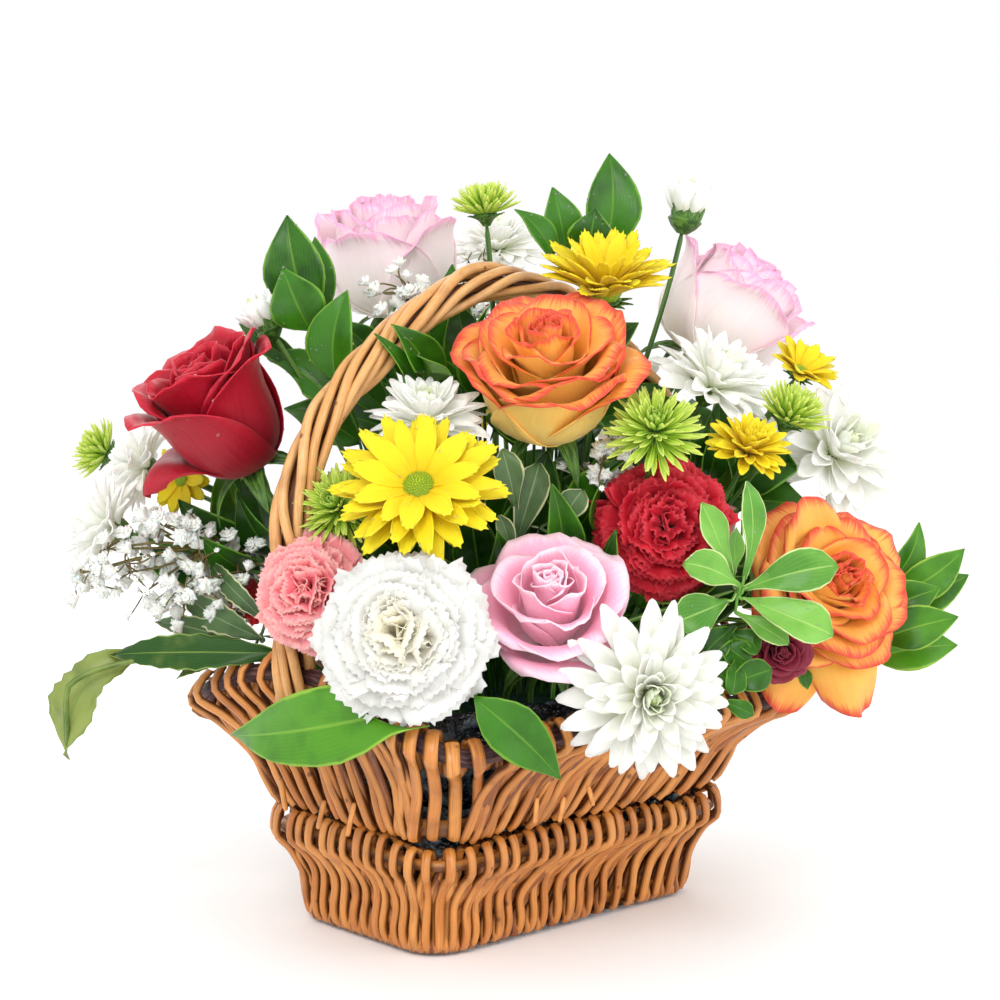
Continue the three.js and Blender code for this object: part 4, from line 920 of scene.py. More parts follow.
# petals of a rose from the heart outwards, in head radii:
# how many, (start, foot, length, half width, lean in degrees from foot to lip, cup, rolled edge, point)
roseForms = {
    "open": [
        (3, (0.03, -0.40, 0.86, 0.30, (14, 2, -8, -14), 1.0, 0.00, 0.0)),
        (3, (0.05, -0.45, 0.94, 0.42, (24, 6, -4, 2), 1.0, 0.00, 0.0)),
        (4, (0.07, -0.50, 1.00, 0.54, (40, 14, 2, 20), 1.0, 0.02, 0.0)),
        (4, (0.09, -0.58, 1.10, 0.68, (60, 22, 6, 36, 60), 1.0, 0.04, 0.0)),
        (5, (0.10, -0.66, 1.24, 0.80, (78, 32, 10, 40, 84), 1.0, 0.06, 0.01)),
        (5, (0.10, -0.72, 1.36, 0.88, (90, 42, 14, 44, 104), 1.0, 0.08, 0.01)),
        (4, (0.10, -0.76, 1.40, 0.90, (98, 54, 24, 54, 124), 1.0, 0.10, 0.02)),
    ],
    "halfOpen": [
        (3, (0.03, -0.28, 0.84, 0.26, (12, 0, -6, -10), 1.0, 0.00, 0.0)),
        (3, (0.05, -0.34, 0.92, 0.36, (22, 4, -4, 0), 1.0, 0.00, 0.0)),
        (3, (0.06, -0.42, 1.00, 0.48, (34, 8, 0, 10), 1.0, 0.01, 0.0)),
        (3, (0.08, -0.50, 1.10, 0.62, (52, 14, 2, 14), 1.0, 0.03, 0.0)),
        (3, (0.09, -0.60, 1.24, 0.80, (74, 28, 6, 24, 60), 1.0, 0.05, 0.0)),
        (4, (0.10, -0.68, 1.36, 0.92, (90, 44, 14, 36, 96), 1.0, 0.08, 0.01)),
        (3, (0.10, -0.72, 1.40, 0.96, (98, 58, 28, 50, 124), 1.0, 0.10, 0.02)),
    ],
    "bud": [
        (3, (0.03, -0.30, 1.04, 0.30, (12, 2, -4, -6), 1.0, 0.00, 0.0)),
        (3, (0.05, -0.40, 1.18, 0.44, (30, 8, -2, 0), 1.0, 0.00, 0.0)),
        (3, (0.06, -0.50, 1.38, 0.60, (50, 14, 2, 2, 12), 1.0, 0.02, 0.0)),
        (4, (0.07, -0.62, 1.60, 0.78, (70, 26, 6, 2, 26), 1.0, 0.04, 0.02)),
        (4, (0.08, -0.74, 1.88, 0.94, (84, 38, 12, 2, 16, 66), 1.0, 0.08, 0.03)),
        (3, (0.08, -0.80, 2.02, 1.04, (92, 46, 16, 4, 22, 96), 1.0, 0.10, 0.05)),
    ],
    "bowl": [
        (3, (0.03, -0.36, 0.90, 0.30, (14, 2, -8, -14), 1.0, 0.00, 0.0)),
        (3, (0.05, -0.42, 0.98, 0.42, (26, 6, -4, 2), 1.0, 0.00, 0.0)),
        (4, (0.07, -0.50, 1.06, 0.54, (44, 14, 2, 18), 1.0, 0.02, 0.0)),
        (4, (0.09, -0.58, 1.18, 0.68, (64, 24, 6, 30, 56), 1.0, 0.04, 0.0)),
        (4, (0.10, -0.66, 1.32, 0.82, (80, 36, 10, 30, 80), 1.0, 0.06, 0.01)),
        (4, (0.10, -0.80, 1.52, 0.92, (96, 50, 16, 8, 74), 1.0, 0.08, 0.02)),
        (3, (0.10, -0.88, 1.62, 0.98, (102, 62, 24, 6, 18, 104), 1.0, 0.10, 0.03)),
    ],
    "globe": [
        (3, (0.03, -0.20, 1.02, 0.30, (14, 2, -6, -10), 1.0, 0.00, 0.0)),
        (3, (0.05, -0.32, 1.18, 0.46, (34, 8, -6, -10), 1.0, 0.00, 0.0)),
        (4, (0.07, -0.44, 1.36, 0.62, (56, 18, 0, -12, -10), 1.0, 0.02, 0.02)),
        (4, (0.08, -0.56, 1.56, 0.80, (76, 32, 8, -8, 0), 1.0, 0.04, 0.02)),
        (4, (0.09, -0.66, 1.76, 0.98, (96, 64, 24, -4, -8, 24), 1.0, 0.06, 0.03)),
        (4, (0.09, -0.72, 1.90, 1.08, (100, 76, 36, 4, -6, 46), 1.0, 0.08, 0.05)),
    ],
}
# single loose petals: the way each hangs as seen from the front in degrees, then its form
loosePetals = {
    "rose_orange_right": [(285, (0.14, -0.50, 1.52, 0.60, (84, 66, 80, 118, 120), 0.9, 0.22, 0.02)),
                          (248, (0.14, -0.56, 1.46, 0.54, (90, 74, 98, 128, 124), 0.9, 0.24, 0.03)),
                          (118, (0.12, -0.50, 1.45, 0.55, (70, 40, 22, 40, 70), 0.9, 0.10, 0.03))],
    "rose_orange_top": [(330, (0.12, -0.78, 1.46, 0.80, (96, 56, 26, 28, 104), 1.0, 0.12, 0.02))],
    "rose_red": [(190, (0.10, -0.74, 1.66, 0.56, (90, 56, 34, 70, 140, 166), 0.9, 0.16, 0.06))],
}
formOf = {"orange": "open", "pink": "halfOpen", "red": "bud", "blush": "globe", "burgundy": "open"}
roseSet = {"fit": 0.97, "thick": 0.00045, "turnPerRing": 1.1}


def makeRose(name, head, r, seed):
    rng = np.random.default_rng(seed)
    petals = []
    form = roseForms["bowl" if name == "rose_orange_top" else formOf[blooms[name][-1]]]
    for ring, (count, petal) in enumerate(form):
        for k in range(count):
            turn = ring * roseSet["turnPerRing"] + 2 * math.pi * k / count + rng.uniform(-0.12, 0.12)
            spots = cuppedSpots(roseSheet, turn, petal, seed * 50 + len(petals), rng.uniform(0.96, 1.05),
                                rng.uniform(-4, 4))
            petals.append(headCopy(roseSheet, head, r * roseSet["fit"], spots,
                                   ring / len(form) + rng.uniform(0, 0.14)))
    for way, petal in loosePetals.get(name, []):
        x, y = (head[0] @ (across * math.cos(math.radians(way)) + upward * math.sin(math.radians(way))))[:2]
        spots = cuppedSpots(roseSheet, math.atan2(y, x), petal, seed * 50 + len(petals))
        petals.append(headCopy(roseSheet, head, r * roseSet["fit"], spots, 0.95))
    return shell(petals, name + "_petals", roseSet["thick"])


# rings from the heart outwards: how many petals, their lean in degrees, their length in head radii
carnationSet = {
    "rings": [(5, 0, 0.68), (8, 10, 0.8), (9, 24, 0.84), (9, 40, 0.88), (9, 57, 0.95), (9, 73, 1.0), (9, 88, 1.02),
              (9, 101, 1.0)],
    "outline": (0.14, 0.3, 0.66, 0.94, 1.0), "waves": (1.1, 2.3), "ruffle": 0.12, "teeth": (0.008, 0.03),
    "fit": 0.93, "thick": 0.0003,
}


def zigzag(count):
    return np.where(np.arange(count) % 2 == 0, 1, -1)


def makeCarnation(name, head, r, seed):
    rng = np.random.default_rng(seed)
    petals = []
    u, v = sheetShares(frill)
    for ring, (count, polar, long) in enumerate(carnationSet["rings"]):
        outer = polar / 100
        for k in range(count):
            turn = 2 * math.pi * (k / count + rng.uniform(-0.03, 0.03)) + polar
            lean = polar + rng.uniform(-9, 9)
            size = long * rng.uniform(0.9, 1.06)
            foot = -0.40 + 0.10 * math.cos(math.radians(polar))
            tipRise = (98 if ring == 0 else 34) - lean + 46 * outer
            rise = (90 - lean * 0.4, 90 - lean * 0.85, 90 - lean, tipRise)
            spots = raySpots(frill, 0, 0.05, foot, size, 0.38 + 0.1 * rng.random() + 0.22 * outer, rise,
                             carnationSet["outline"], (0.3,), roundTip=0.24 - 0.1 * outer)
            phase, waves = rng.uniform(0, 6), rng.uniform(*carnationSet["waves"])
            wave = np.sin(u * waves * math.pi + phase) * carnationSet["ruffle"] * (1 - 0.5 * outer)
            wave = wave + np.sin(u * 7 + phase * 2) * 0.035
            teeth = zigzag(u.shape[1]) * rng.uniform(*carnationSet["teeth"], u.shape) * (v > 0.95)
            lift = np.radians(spread(v, rise))
            push = wave * v ** 2 + 0.04 * np.sin(v * 9 + phase) * u
            twist = rng.uniform(-0.7, 0.7) * (1 if polar < 50 else 0.35)
            spots = spun(spots[:, :, 0] - push * np.sin(lift) + teeth * np.cos(lift), spots[:, :, 1],
                         spots[:, :, 2] + push * np.cos(lift) + teeth * np.sin(lift), turn + twist)
            petals.append(headCopy(frill, head, r * carnationSet["fit"], spots, ring / 8 + rng.uniform(0, 0.2)))
    return shell(petals, name + "_petals", carnationSet["thick"])


# rings of rays: how many on a large and on a small head, foot, length, rise at the foot and at the tip
daisySet = {
    "rings": [((18, 11), -0.12, 0.86, 2, -6), ((15, 8), -0.06, 0.82, 12, 8), ((11, 0), 0.0, 0.68, 26, 20)],
    "outline": (0.35, 0.6, 0.82, 0.95, 1.0, 1.0, 0.9, 0.6), "thick": 0.0004,
    "dome": 0.235, "seeds": (190, 60), "seedSize": 0.0105,
}
goldenTurn = 2.39996


def discSeeds(head, r, count, rng):  # tiny florets in a spiral on the dome
    size, reach = daisySet["seedSize"], daisySet["dome"] - 0.01
    seeds = []
    for k in range(count):
        share = math.sqrt((k + 0.5) / count)
        turn = k * goldenTurn
        spot = np.array([math.cos(turn) * share * reach, math.sin(turn) * share * reach,
                         -0.02 + 0.1 * (1 - share ** 2)])
        way = unit([spot[0] * 0.9, spot[1] * 0.9, reach])
        spots = rodSpots(seedSheet, [spot - way * size, spot + way * size, spot + way * size * 2.2],
                         (size * 1.2, size * 1.9, size * 1.2))
        seeds.append(headCopy(seedSheet, head, r, spots, 1 - share * 0.8 + rng.uniform(-0.1, 0.1)))
    return seeds


def makeDaisy(name, head, r, seed):
    rng = np.random.default_rng(seed)
    petals = []
    small = r < 0.02
    lifted = 30 if 0.02 < r < 0.035 else 26 if 0.018 < r < 0.02 else 0
    for counts, foot, long, rise, fall in daisySet["rings"]:
        for k in range(counts[small]):
            turn = 2 * math.pi * (k + 0.5 * (foot > -0.1)) / counts[small] + rng.uniform(-0.1, 0.1)
            size = long * rng.uniform(0.88, 1.06)
            droop = rng.uniform(-9, 9)
            wide = rng.uniform(0.105, 0.135) * (1.5 if small else 1)
            spots = raySpots(rayPetal, turn, 0.14, foot, size, wide,
                             (rise + 14 + lifted, rise + droop + lifted, fall + droop * 1.6 + lifted * 0.8),
                             daisySet["outline"], (0.9, 0.5, 0.35), ridge=0.1, roundTip=0.12, notch=0.07,
                             sweep=rng.uniform(-0.07, 0.07), twist=rng.uniform(-0.4, 0.4))
            petals.append(headCopy(rayPetal, head, r, spots, rng.uniform(0.6, 1)))
    flower = shell(petals, name + "_petals", daisySet["thick"])
    dome = rodSpots(stemSheet, [(0, 0, -0.2), (0, 0, -0.065), (0, 0, 0.07)],
                    np.sqrt(np.clip(1 - np.linspace(-0.9, 1, 12) ** 2, 0, 1)) * 2 * daisySet["dome"])
    seeds = discSeeds(head, r, daisySet["seeds"][small], rng)
    dress(seamless([headCopy(stemSheet, head, r, dome, 0.1), *seeds], name + "_disc"), discGreen, "petal_green")
    return flower


spoonOutline = (0.42, 0.52, 0.66, 0.82, 0.96, 1.0, 0.94, 0.6)
rayThick, sepalThick = 0.0004, 0.0005

# heads with rings of petals from the outside inwards: how many, foot, length, rise in degrees from foot to tip
rayedForms = {
    "mum": {"rings": [(16, -0.24, 0.90, 10, -8, -14), (16, -0.19, 0.87, 22, 4, 0), (15, -0.13, 0.78, 38, 18, 12),
                      (14, -0.08, 0.66, 52, 36, 34), (13, -0.04, 0.54, 66, 60, 66), (12, 0.0, 0.44, 76, 78, 96),
                      (10, 0.02, 0.36, 84, 94, 124), (8, 0.04, 0.28, 88, 106, 146)],
            "wide": 0.132, "outline": spoonOutline, "curl": (1.5, 0.9, 0.7), "droop": 8, "shrink": 0.065,
            "start": 0.12},
    "smallMum": {"rings": [(15, -0.36, 1.02, 20, 4, -6), (15, -0.31, 1.0, 32, 18, 10), (14, -0.25, 0.94, 46, 36, 32),
                           (13, -0.19, 0.84, 60, 54, 60), (11, -0.14, 0.7, 72, 72, 84), (9, -0.1, 0.54, 82, 90, 114),
                           (7, -0.06, 0.38, 88, 104, 140)],
                 "wide": 0.185, "outline": spoonOutline, "curl": (1.9, 1.0, 0.8), "droop": 9, "shrink": 0.07,
                 "start": 0.12},
    "button": {"rings": [(25, -0.3, 0.86, -12, -4, 10), (25, -0.24, 0.88, 2, 10, 24), (24, -0.16, 0.84, 20, 26, 40),
                         (22, -0.08, 0.74, 38, 42, 58), (19, 0.0, 0.6, 54, 60, 78), (16, 0.06, 0.45, 68, 78, 98),
                         (12, 0.1, 0.32, 78, 94, 120), (8, 0.12, 0.24, 86, 104, 135)],
               "wide": 0.078, "outline": (0.9, 0.85, 0.82, 0.84, 0.95, 1.0, 0.9, 0.5), "curl": (2.2, 1.8, 1.2),
               "droop": 7, "shrink": 0.035, "start": 0.2},
    "bud": {"rings": [(9, -0.5, 1.66, 16, 62, 84), (9, -0.45, 1.72, 30, 74, 94), (8, -0.4, 1.66, 48, 84, 102),
                      (5, -0.35, 1.5, 78, 94, 106)],
            "wide": 0.4, "outline": spoonOutline, "curl": (1.0,), "droop": 5, "shrink": 0.1, "start": 0.3},
}
smallButton = {"radius": 0.018, "lift": 26}  # the small ones are seen from the side, closed like a brush


def makeRayed(name, head, r, seed):
    kind = blooms[name][0]
    form = rayedForms[kind]
    rng = np.random.default_rng(seed)
    petals = []
    for ring, (count, foot, long, *rise) in enumerate(form["rings"]):
        lifted = smallButton["lift"] * (1 - ring / 8) if kind == "button" and r < smallButton["radius"] else 0
        for k in range(count):
            turn = 2 * math.pi * (k + 0.5 * (ring % 2)) / count + rng.uniform(-0.16, 0.16)
            droop = rng.uniform(-form["droop"], form["droop"])
            bent = [a + lifted + droop * (0.3 + 0.6 * i) for i, a in enumerate(rise)]
            size = long * rng.uniform(0.84, 1.08)
            wide = form["wide"] * rng.uniform(0.88, 1.12) * (1 - form["shrink"] * ring)
            spots = raySpots(quill, turn, form["start"] * (1 - 0.1 * ring), foot, size, wide, bent, form["outline"],
                             form["curl"], roundTip=0.13, sweep=rng.uniform(-0.1, 0.1), twist=rng.uniform(-0.5, 0.5))
            tone = 1 - (ring + rng.uniform(0, 1)) / (len(form["rings"]) + 0.3)
            petals.append(headCopy(quill, head, r, spots, tone))
    return shell(petals, name + "_petals", rayThick)


makers = {"rose": makeRose, "carnation": makeCarnation, "daisy": makeDaisy}
archSpots = smoothPath(handlePath(), 60)
stemSet = {"foamTop": 0.105, "archGap": 0.0125, "holeGap": 0.0005, "thick": 0.0034, "thin": 0.0024,
           "heart": (0, 0, 0.110)}


def stemHole(name):  # where the stem of this flower goes into the foam
    spots = readSpots(frame["nodes"][name].data)
    return spots[spots[:, 2] < spots[:, 2].min() + 0.001].mean(axis=0)


def stemPath(foot, leave, hole):  # a soft bend from the head down to the foam, clear of the arch handle
    top = np.array([hole[0], hole[1], stemSet["foamTop"]])
    long = np.linalg.norm(foot - top)
    bendA, bendB = foot + leave * long * 0.35, top + np.array([0, 0, long * 0.3])
    t = np.linspace(0, 1, 10)[:, None]
    path = ((1 - t) ** 3 * foot + 3 * (1 - t) ** 2 * t * bendA + 3 * (1 - t) * t ** 2 * bendB + t ** 3 * top)
    for k in range(1, 9):
        away = path[k] - archSpots
        gap = np.linalg.norm(away, axis=1)
        near = gap.argmin()
        if gap[near] < stemSet["archGap"]:
            path[k] += away[near] / gap[near] * (stemSet["archGap"] - gap[near])
    return [*path, hole + np.array([0, 0, stemSet["holeGap"]])]


# the green cup under a head: widths in head radii along it, then its leaflets: how many, length, width, rise
cupSet = {
    "rose": ((0.2, 0.42, 0.36, 0.2), (5, 0.8, 0.14, (-5, -35, -75))),
    "carnation": ((0.3, 0.48, 0.46, 0.3), (6, 0.5, 0.14, (80, 70, 40))),
    "daisy": ((0.3, 0.5, 0.3, 0.14), (12, 0.32, 0.07, (30, 20, 5))),
    "mum": ((0.3, 0.5, 0.34, 0.14), (13, 0.34, 0.08, (40, 25, 5))),
    "smallMum": ((0.3, 0.5, 0.36, 0.16), (12, 0.42, 0.09, (60, 45, 20))),
    "button": ((0.5, 0.7, 0.4, 0.2), (14, 0.5, 0.1, (40, 30, 10))),
    "bud": ((0.9, 1.5, 1.1, 0.4), (10, 1.3, 0.34, (20, 78, 84))),
}


def bloomStem(name, kind, head, r):
    axes, middle = head
    back = -axes[2]
    depth = r * depthOf[kind]
    thick = stemSet["thick" if kind in ("rose", "carnation", "daisy", "mum") else "thin"]
    path = [middle + back * depth * 0.6, *stemPath(middle + back * depth * 0.95, back, stemHole(name))]
    cup = [middle + back * depth * share for share in (0.3, 0.6, 0.9, 1.1)]
    return [rodCopy(stemSheet, line, wide, stemRng.uniform(0, 1))
            for line, wide in ((path, thick), (cup, np.array(cupSet[kind][0]) * r))]


def sepals(kind, head, r, rng):
    parts = []
    count, long, wide, rise = cupSet[kind][1]
    for k in range(count):
        turn = 2 * math.pi * k / count + rng.uniform(-0.15, 0.15)
        spots = raySpots(quill, turn, 0.1 if kind != "bud" else 0.25, -depthOf[kind] * 0.9,
                         long * rng.uniform(0.85, 1.1), wide, rise, (0.8, 1, 0.95, 0.8, 0.6, 0.4, 0.15), (0.7,))
        parts.append(headCopy(quill, head, r, spots, rng.uniform(0, 1)))
    return shell(parts, "sepals", sepalThick)


for number, (name, (kind, spot, facing, r, paint)) in enumerate(blooms.items()):
    r = r / 1000
    slotName = "petal_" + paint
    if paint == "white":
        paint = {"carnation": "carnationWhite", "mum": "mumWhite"}.get(kind, paint)
    petals = makers.get(kind, makeRayed)(name, heads[name], r, number + 1)
    dress(petals, petalPaints[paint], slotName, name)
    stem = seamless(bloomStem(name, kind, heads[name], r), name + "_stem")
    green = joinCopies([stem, sepals(kind, heads[name], r, np.random.default_rng(number))], name + "_stem")
    dress(green, stemGreen, "leaf")
print("blooms done")


def clearOfHeads(spots, margin=0.0015):  # moves what would stand inside a bloom out to its surface
    for name, (axes, middle) in heads.items():
        kind, r = blooms[name][0], blooms[name][3] / 1000
        reach = np.array([r, r, r * depthOf[kind]]) + margin
        local = (spots - middle) @ axes.T
        share = np.linalg.norm(local / reach, axis=-1)
        share = np.where((share < 1) & (share > 0.001), share, 1)
        spots = middle + (local / share[..., None]) @ axes
    return spots


# each leaf: foot, tip, width in millimetres, and where it matters its bow to the side and its paleness
sprays = {
    "pittosporum_front": ("spoon", "leaf_pale", [
        ((103, -4, 74), (141, 6, 82), 19), ((103, -8, 72), (139, -23, 82), 19), ((100, -14, 66), (122, -27, 70), 11),
        ((103, 0, 72), (104, 41, 80), 11), ((98, 2, 70), (85, 32, 78), 13), ((101, -3, 74), (77, 7, 84), 16),
        ((96, -9, 72), (73, -18, 82), 18), ((99, 1, 66), (98, 22, 68), 9)]),
    "pittosporum_low": ("spoon", "leaf", [
        ((100, -20, 62), (86, -32, 68), 14), ((92, -46, 72), (115, -38, 70), 14), ((99, -34, 70), (97, -48, 80), 11),
        ((92, -50, 84), (105, -56, 88), 8), ((90, -24, 62), (106, -36, 66), 13), ((86, -38, 70), (104, -30, 60), 12),
        ((128, -34, 30), (135, -48, 34), 7), ((94, -40, 74), (84, -52, 80), 10), ((98, -22, 60), (112, -30, 64), 12),
        ((88, -14, 56), (76, -28, 64), 13)]),
    "leaf_over_left_rim": ("ovate", "leaf", [((-30, -50, 134), (-117, -67, 58), 32)]),
    "leaf_over_front_rim": ("ovate", "leaf", [((-10, -47, 130), (25, -81, 113), 22)]),
    "pittosporum_centre": ("spoon", "leaf_grey", [
        ((7, 29, 62), (1, 55, 70), 13), ((6, 13, 60), (17, 50, 60), 15), ((26, 22, 62), (35, 38, 66), 13),
        ((40, 38, 48), (24, 52, 54), 7), ((5, 8, 68), (0, 27, 76), 8)]),
    "ruscus_centre": ("ruscus", "leaf", [
        ((-28, 80, 40), (-45, 108, 70), 20), ((-36, 82, 44), (-52, 104, 74), 10), ((-30, 82, 52), (-34, 95, 76), 18)]),
    "ruscus_left": ("ruscus", "leaf", [
        ((-85, 116, 22), (-95, 162, 26), 28), ((-80, 118, 12), (-84, 155, 10), 16),
        ((-84, 110, 32), (-95, 136, 42), 25), ((-72, 86, 38), (-67, 126, 46), 24),
        ((-74, 78, 24), (-106, 102, 14), 20), ((-89, 95, 16), (-118, 116, 10), 12)]),
    "ruscus_top": ("ruscus", "leaf", [
        ((48, 149, 2), (50, 194, 4), 26), ((30, 148, 8), (24, 177, 12), 19), ((25, 143, 14), (7, 166, 20), 14),
        ((40, 146, 12), (43, 166, 18), 22), ((55, 154, -10), (61, 176, -12), 6)]),
    "ruscus_right": ("ruscus", "leaf", [
        ((178, -2, -8), (193, 26, -10), 15), ((180, -8, -10), (214, 14, -12), 19), ((182, -15, -14), (217, 2, -18), 18),
        ((172, -27, 4), (207, -17, 6), 20), ((170, -36, -6), (210, -30, -10), 20), ((170, -16, -4), (200, -4, 0), 20),
        ((152, -40, 4), (159, -60, 8), 7)]),
    "leaf_long_left": ("long", "leaf", [
        ((-92, -32, 52), (-173, -33, 30), 16, 0.0, -0.4), ((-162, -31, 26), (-190, -77, 38), 27, 0.14, 1.0),
        ((-113, -32, 36), (-141, -43, 40), 7)]),
    "leaves_grey_left": ("long", "leaf_grey", [
        ((-103, -26, 40), (-144, -5, 4), 14), ((-103, -18, 36), (-131, 9, 16), 10),
        ((-110, -30, 30), (-156, -19, 8), 11)]),
    "leaves_back": ("ruscus", "leaf", [
        ((-24, 38, -112), (-40, 62, -128), 20), ((-20, 34, -116), (-8, 58, -134), 20),
        ((-24, 6, -118), (-40, -10, -142), 22), ((-20, 2, -116), (-4, -14, -144), 20)]),
}

leafForms = {  # share of the half width from foot to tip, fold at the midrib, wave of the edge
    "ruscus": ((0.05, 0.5, 0.8, 0.96, 1.0, 0.93, 0.78, 0.56, 0.3, 0.02), 0.3, 0.03),
    "ovate": ((0.05, 0.55, 0.86, 1.0, 0.98, 0.88, 0.7, 0.46, 0.22, 0.02), 0.22, 0.05),
    "spoon": ((0.1, 0.2, 0.36, 0.56, 0.76, 0.92, 1.0, 0.96, 0.74, 0.1), 0.24, 0.08),
    "long": ((0.05, 0.4, 0.66, 0.86, 1.0, 0.97, 0.84, 0.64, 0.36, 0.02), 0.2, 0.12),
}
leafSheet = sheetTemplate("leaf", 10, 18)
leafSet = {"thick": 0.0005, "heart": (0, 0, 0.130), "look": (0, 0.2425, 0.9701), "tipFall": 0.36, "notch": 0.05}


def leafFinish(name, dark, light, edge, under, rib, gloss=0.34, streaks=34.0, margin=0.035):
    leaf = Finish(name)
    across, along = leaf.shares()
    side = leaf.fromMiddle(across)
    cloud = leaf.noise(leaf.spot(), 60.0, 3.0)
    shade = leaf.plus(cloud, leaf.times(leaf.attribute("tone"), 0.4))
    slant = leaf.plus(leaf.times(side, streaks * 0.5), leaf.times(along, -streaks * 0.35))
    line = leaf.fade(leaf.math("ABSOLUTE", leaf.math("SINE", leaf.times(slant, 1.6))), 0.02, 0.28)
    midrib = leaf.fade(side, 0.02, 0.07)
    reach = leaf.plus(side, leaf.times(leaf.minus(cloud, 0.5), margin * 6))
    body = leaf.mix(leaf.band(shade, 0.35, 0.95), tint(dark), tint(light))
    body = leaf.over(body, rib, line, 0.2)
    body = leaf.over(body, rib, midrib, 0.65)
    body = leaf.over(body, edge, leaf.band(reach, 1 - margin * 3, 1 - margin))
    body = leaf.over(body, under, leaf.attribute("rear"), 0.75)
    height = leaf.plus(leaf.times(line, -0.5), leaf.times(midrib, -1.0))
    leaf.bump(leaf.plus(height, cloud), 0.35, 0.0006)
    rough = leaf.plus(leaf.times(cloud, 0.2), gloss - 0.1)
    return leaf.surface(Base_Color=body, Roughness=rough, Specular_IOR_Level=0.28, Subsurface_Weight=0.08,
                        Subsurface_Scale=0.002, Coat_Weight=0.1, Coat_Roughness=0.14)


leafPaints = {
    "leaf": leafFinish("glossyLeaf", "113c03", "36750f", "6a9c2a", "5f8c2c", "629426", 0.36),
    "leaf_bright": leafFinish("brightLeaf", "225c08", "4e9016", "8ab43a", "74a43a", "7cae34", 0.38),
    "leaf_olive": leafFinish("oliveLeaf", "1a4a06", "8c9c50", "7f9a44", "8a9a5c", "7d9a40", 0.42, 30.0, 0.02),
    "leaf_pale": leafFinish("paleLeaf", "4c8a2c", "7cb84c", "cfe09a", "8cb868", "aad070", 0.38, 20.0, 0.03),
    "leaf_grey": leafFinish("greyLeaf", "2f4d26", "567448", "c8cc9e", "7c8e66", "90a274", 0.45, 20.0, 0.05),
}


def leafSpots(foot, tip, width, form, droop, seed, sideways=0.0):
    outline, fold, wave = leafForms[form]
    u, v = sheetShares(leafSheet)
    long = np.linalg.norm(tip - foot)
    along = unit(tip - foot)
    outward = unit((foot + tip) / 2 - leafSet["heart"])
    look = wayOf(*leafSet["look"]) * 0.6 + outward * 0.4  # leaves show their faces to the front and outwards
    side = unit(np.cross(along, look))
    normal = np.cross(side, along)
    half = width / 2 * spread(v, outline)
    if form == "long":
        half = half * (1 + leafSet["notch"] * zigzag(len(v))[:, None])
    lift = droop * long * np.sin(v * math.pi) + np.abs(u) * half * fold * 1.2
    lift = lift + wave * width * np.sin(v * 11 + seed + u * 1.5) * np.abs(u) ** 1.5
    lift = lift - leafSet["tipFall"] * long * np.clip(v - 0.7, 0, 1) ** 2
    bow = sideways * long * np.sin(v * math.pi)
    return foot + along * long * v[..., None] + side * (u * half + bow)[..., None] + normal * lift[..., None]


def nearestOn(path, spot):
    path = np.array(path)
    return path[np.linalg.norm(path - spot, axis=1).argmin()]


def makeSpray(name, form, leaves, seed):
    rng = np.random.default_rng(seed)
    places = [(placeOf(foot), placeOf(tip), width / 1000, more) for foot, tip, width, *more in leaves]
    hub = np.mean([foot for foot, tip, width, more in places], axis=0)
    path = stemPath(hub, -unit(hub - stemSet["heart"]), stemHole(name))
    stalks = [rodCopy(stemSheet, path, (0.0012, 0.0022, 0.0026, 0.0026), 0.3)]
    blades = []
    for foot, tip, width, more in places:
        wave, bow, tone = rng.uniform(0, 6), rng.uniform(-0.05, 0.05), rng.uniform(0, 1)
        if more:
            bow, tone = more
        blades.append(copySheet(leafSheet, clearOfHeads(leafSpots(foot, tip, width, form, 0.08, wave, bow)), tone))
        start = nearestOn(path, foot)
        if np.linalg.norm(start - foot) > 0.002:
            middle = (start + foot) / 2 + (0, 0, -0.002)
            stalk = clearOfHeads(rodSpots(stemSheet, [start, middle, foot, foot * 0.9 + tip * 0.1],
                                          (0.0016, 0.0014, 0.0013, 0.001)))
            stalks.append(copySheet(stemSheet, stalk, 0.6))
    stalks = seamless(stalks, name + "_stalks")
    return joinCopies([shell(blades, name + "_blades", leafSet["thick"], False), stalks], name + "_leaves")


# leaves deep among the stems: how many, middle and reach of the cloud in millimetres
fillers = {"inner": (84, (0, -15, -4), (122, 78, 92)), "upper": (34, (-4, 62, -14), (88, 58, 58)),
           "left": (18, (-96, 0, -14), (40, 34, 20)), "right": (16, (90, 34, -14), (22, 30, 20))}
fillSet = {"width": 0.023, "long": 0.042, "holeShare": 0.4, "holeHeight": 0.084}


def makeFillers():
    rng = np.random.default_rng(12)
    blades, stalks = [], []
    for count, middle, reach in fillers.values():
        for k in range(count):
            level = 0.95 - 1.05 * (k + 0.5) / count
            wide = math.sqrt(1 - level ** 2)
            way = np.array([math.cos(k * goldenTurn) * wide, level, math.sin(k * goldenTurn) * wide])
            foot = placeOf(np.array(middle) + way * reach * rng.uniform(0.4, 0.8))
            lean = unit(wayOf(*way) + (0, 0, 0.35) + rng.uniform(-0.5, 0.5, 3))
            tip = foot + lean * fillSet["long"] * rng.uniform(0.8, 1.15)
            spots = leafSpots(foot, tip, fillSet["width"] * rng.uniform(0.75, 1.2), "ruscus", 0.1, rng.uniform(0, 6))
            blades.append(copySheet(leafSheet, clearOfHeads(spots), rng.uniform(0, 0.6)))
            hole = raised(foot * fillSet["holeShare"], fillSet["holeHeight"])
            stalk = rodSpots(stemSheet, [foot * 0.9 + tip * 0.1, foot, (foot + hole) / 2 + wayOf(*way) * 0.006, hole],
                             (0.0014, 0.0018, 0.002))
            stalks.append(copySheet(stemSheet, clearOfHeads(stalk), 0.3))
    stalks = seamless(stalks, "innerStalks")
    return joinCopies([shell(blades, "innerBlades", leafSet["thick"], False), stalks], "innerLeaves")


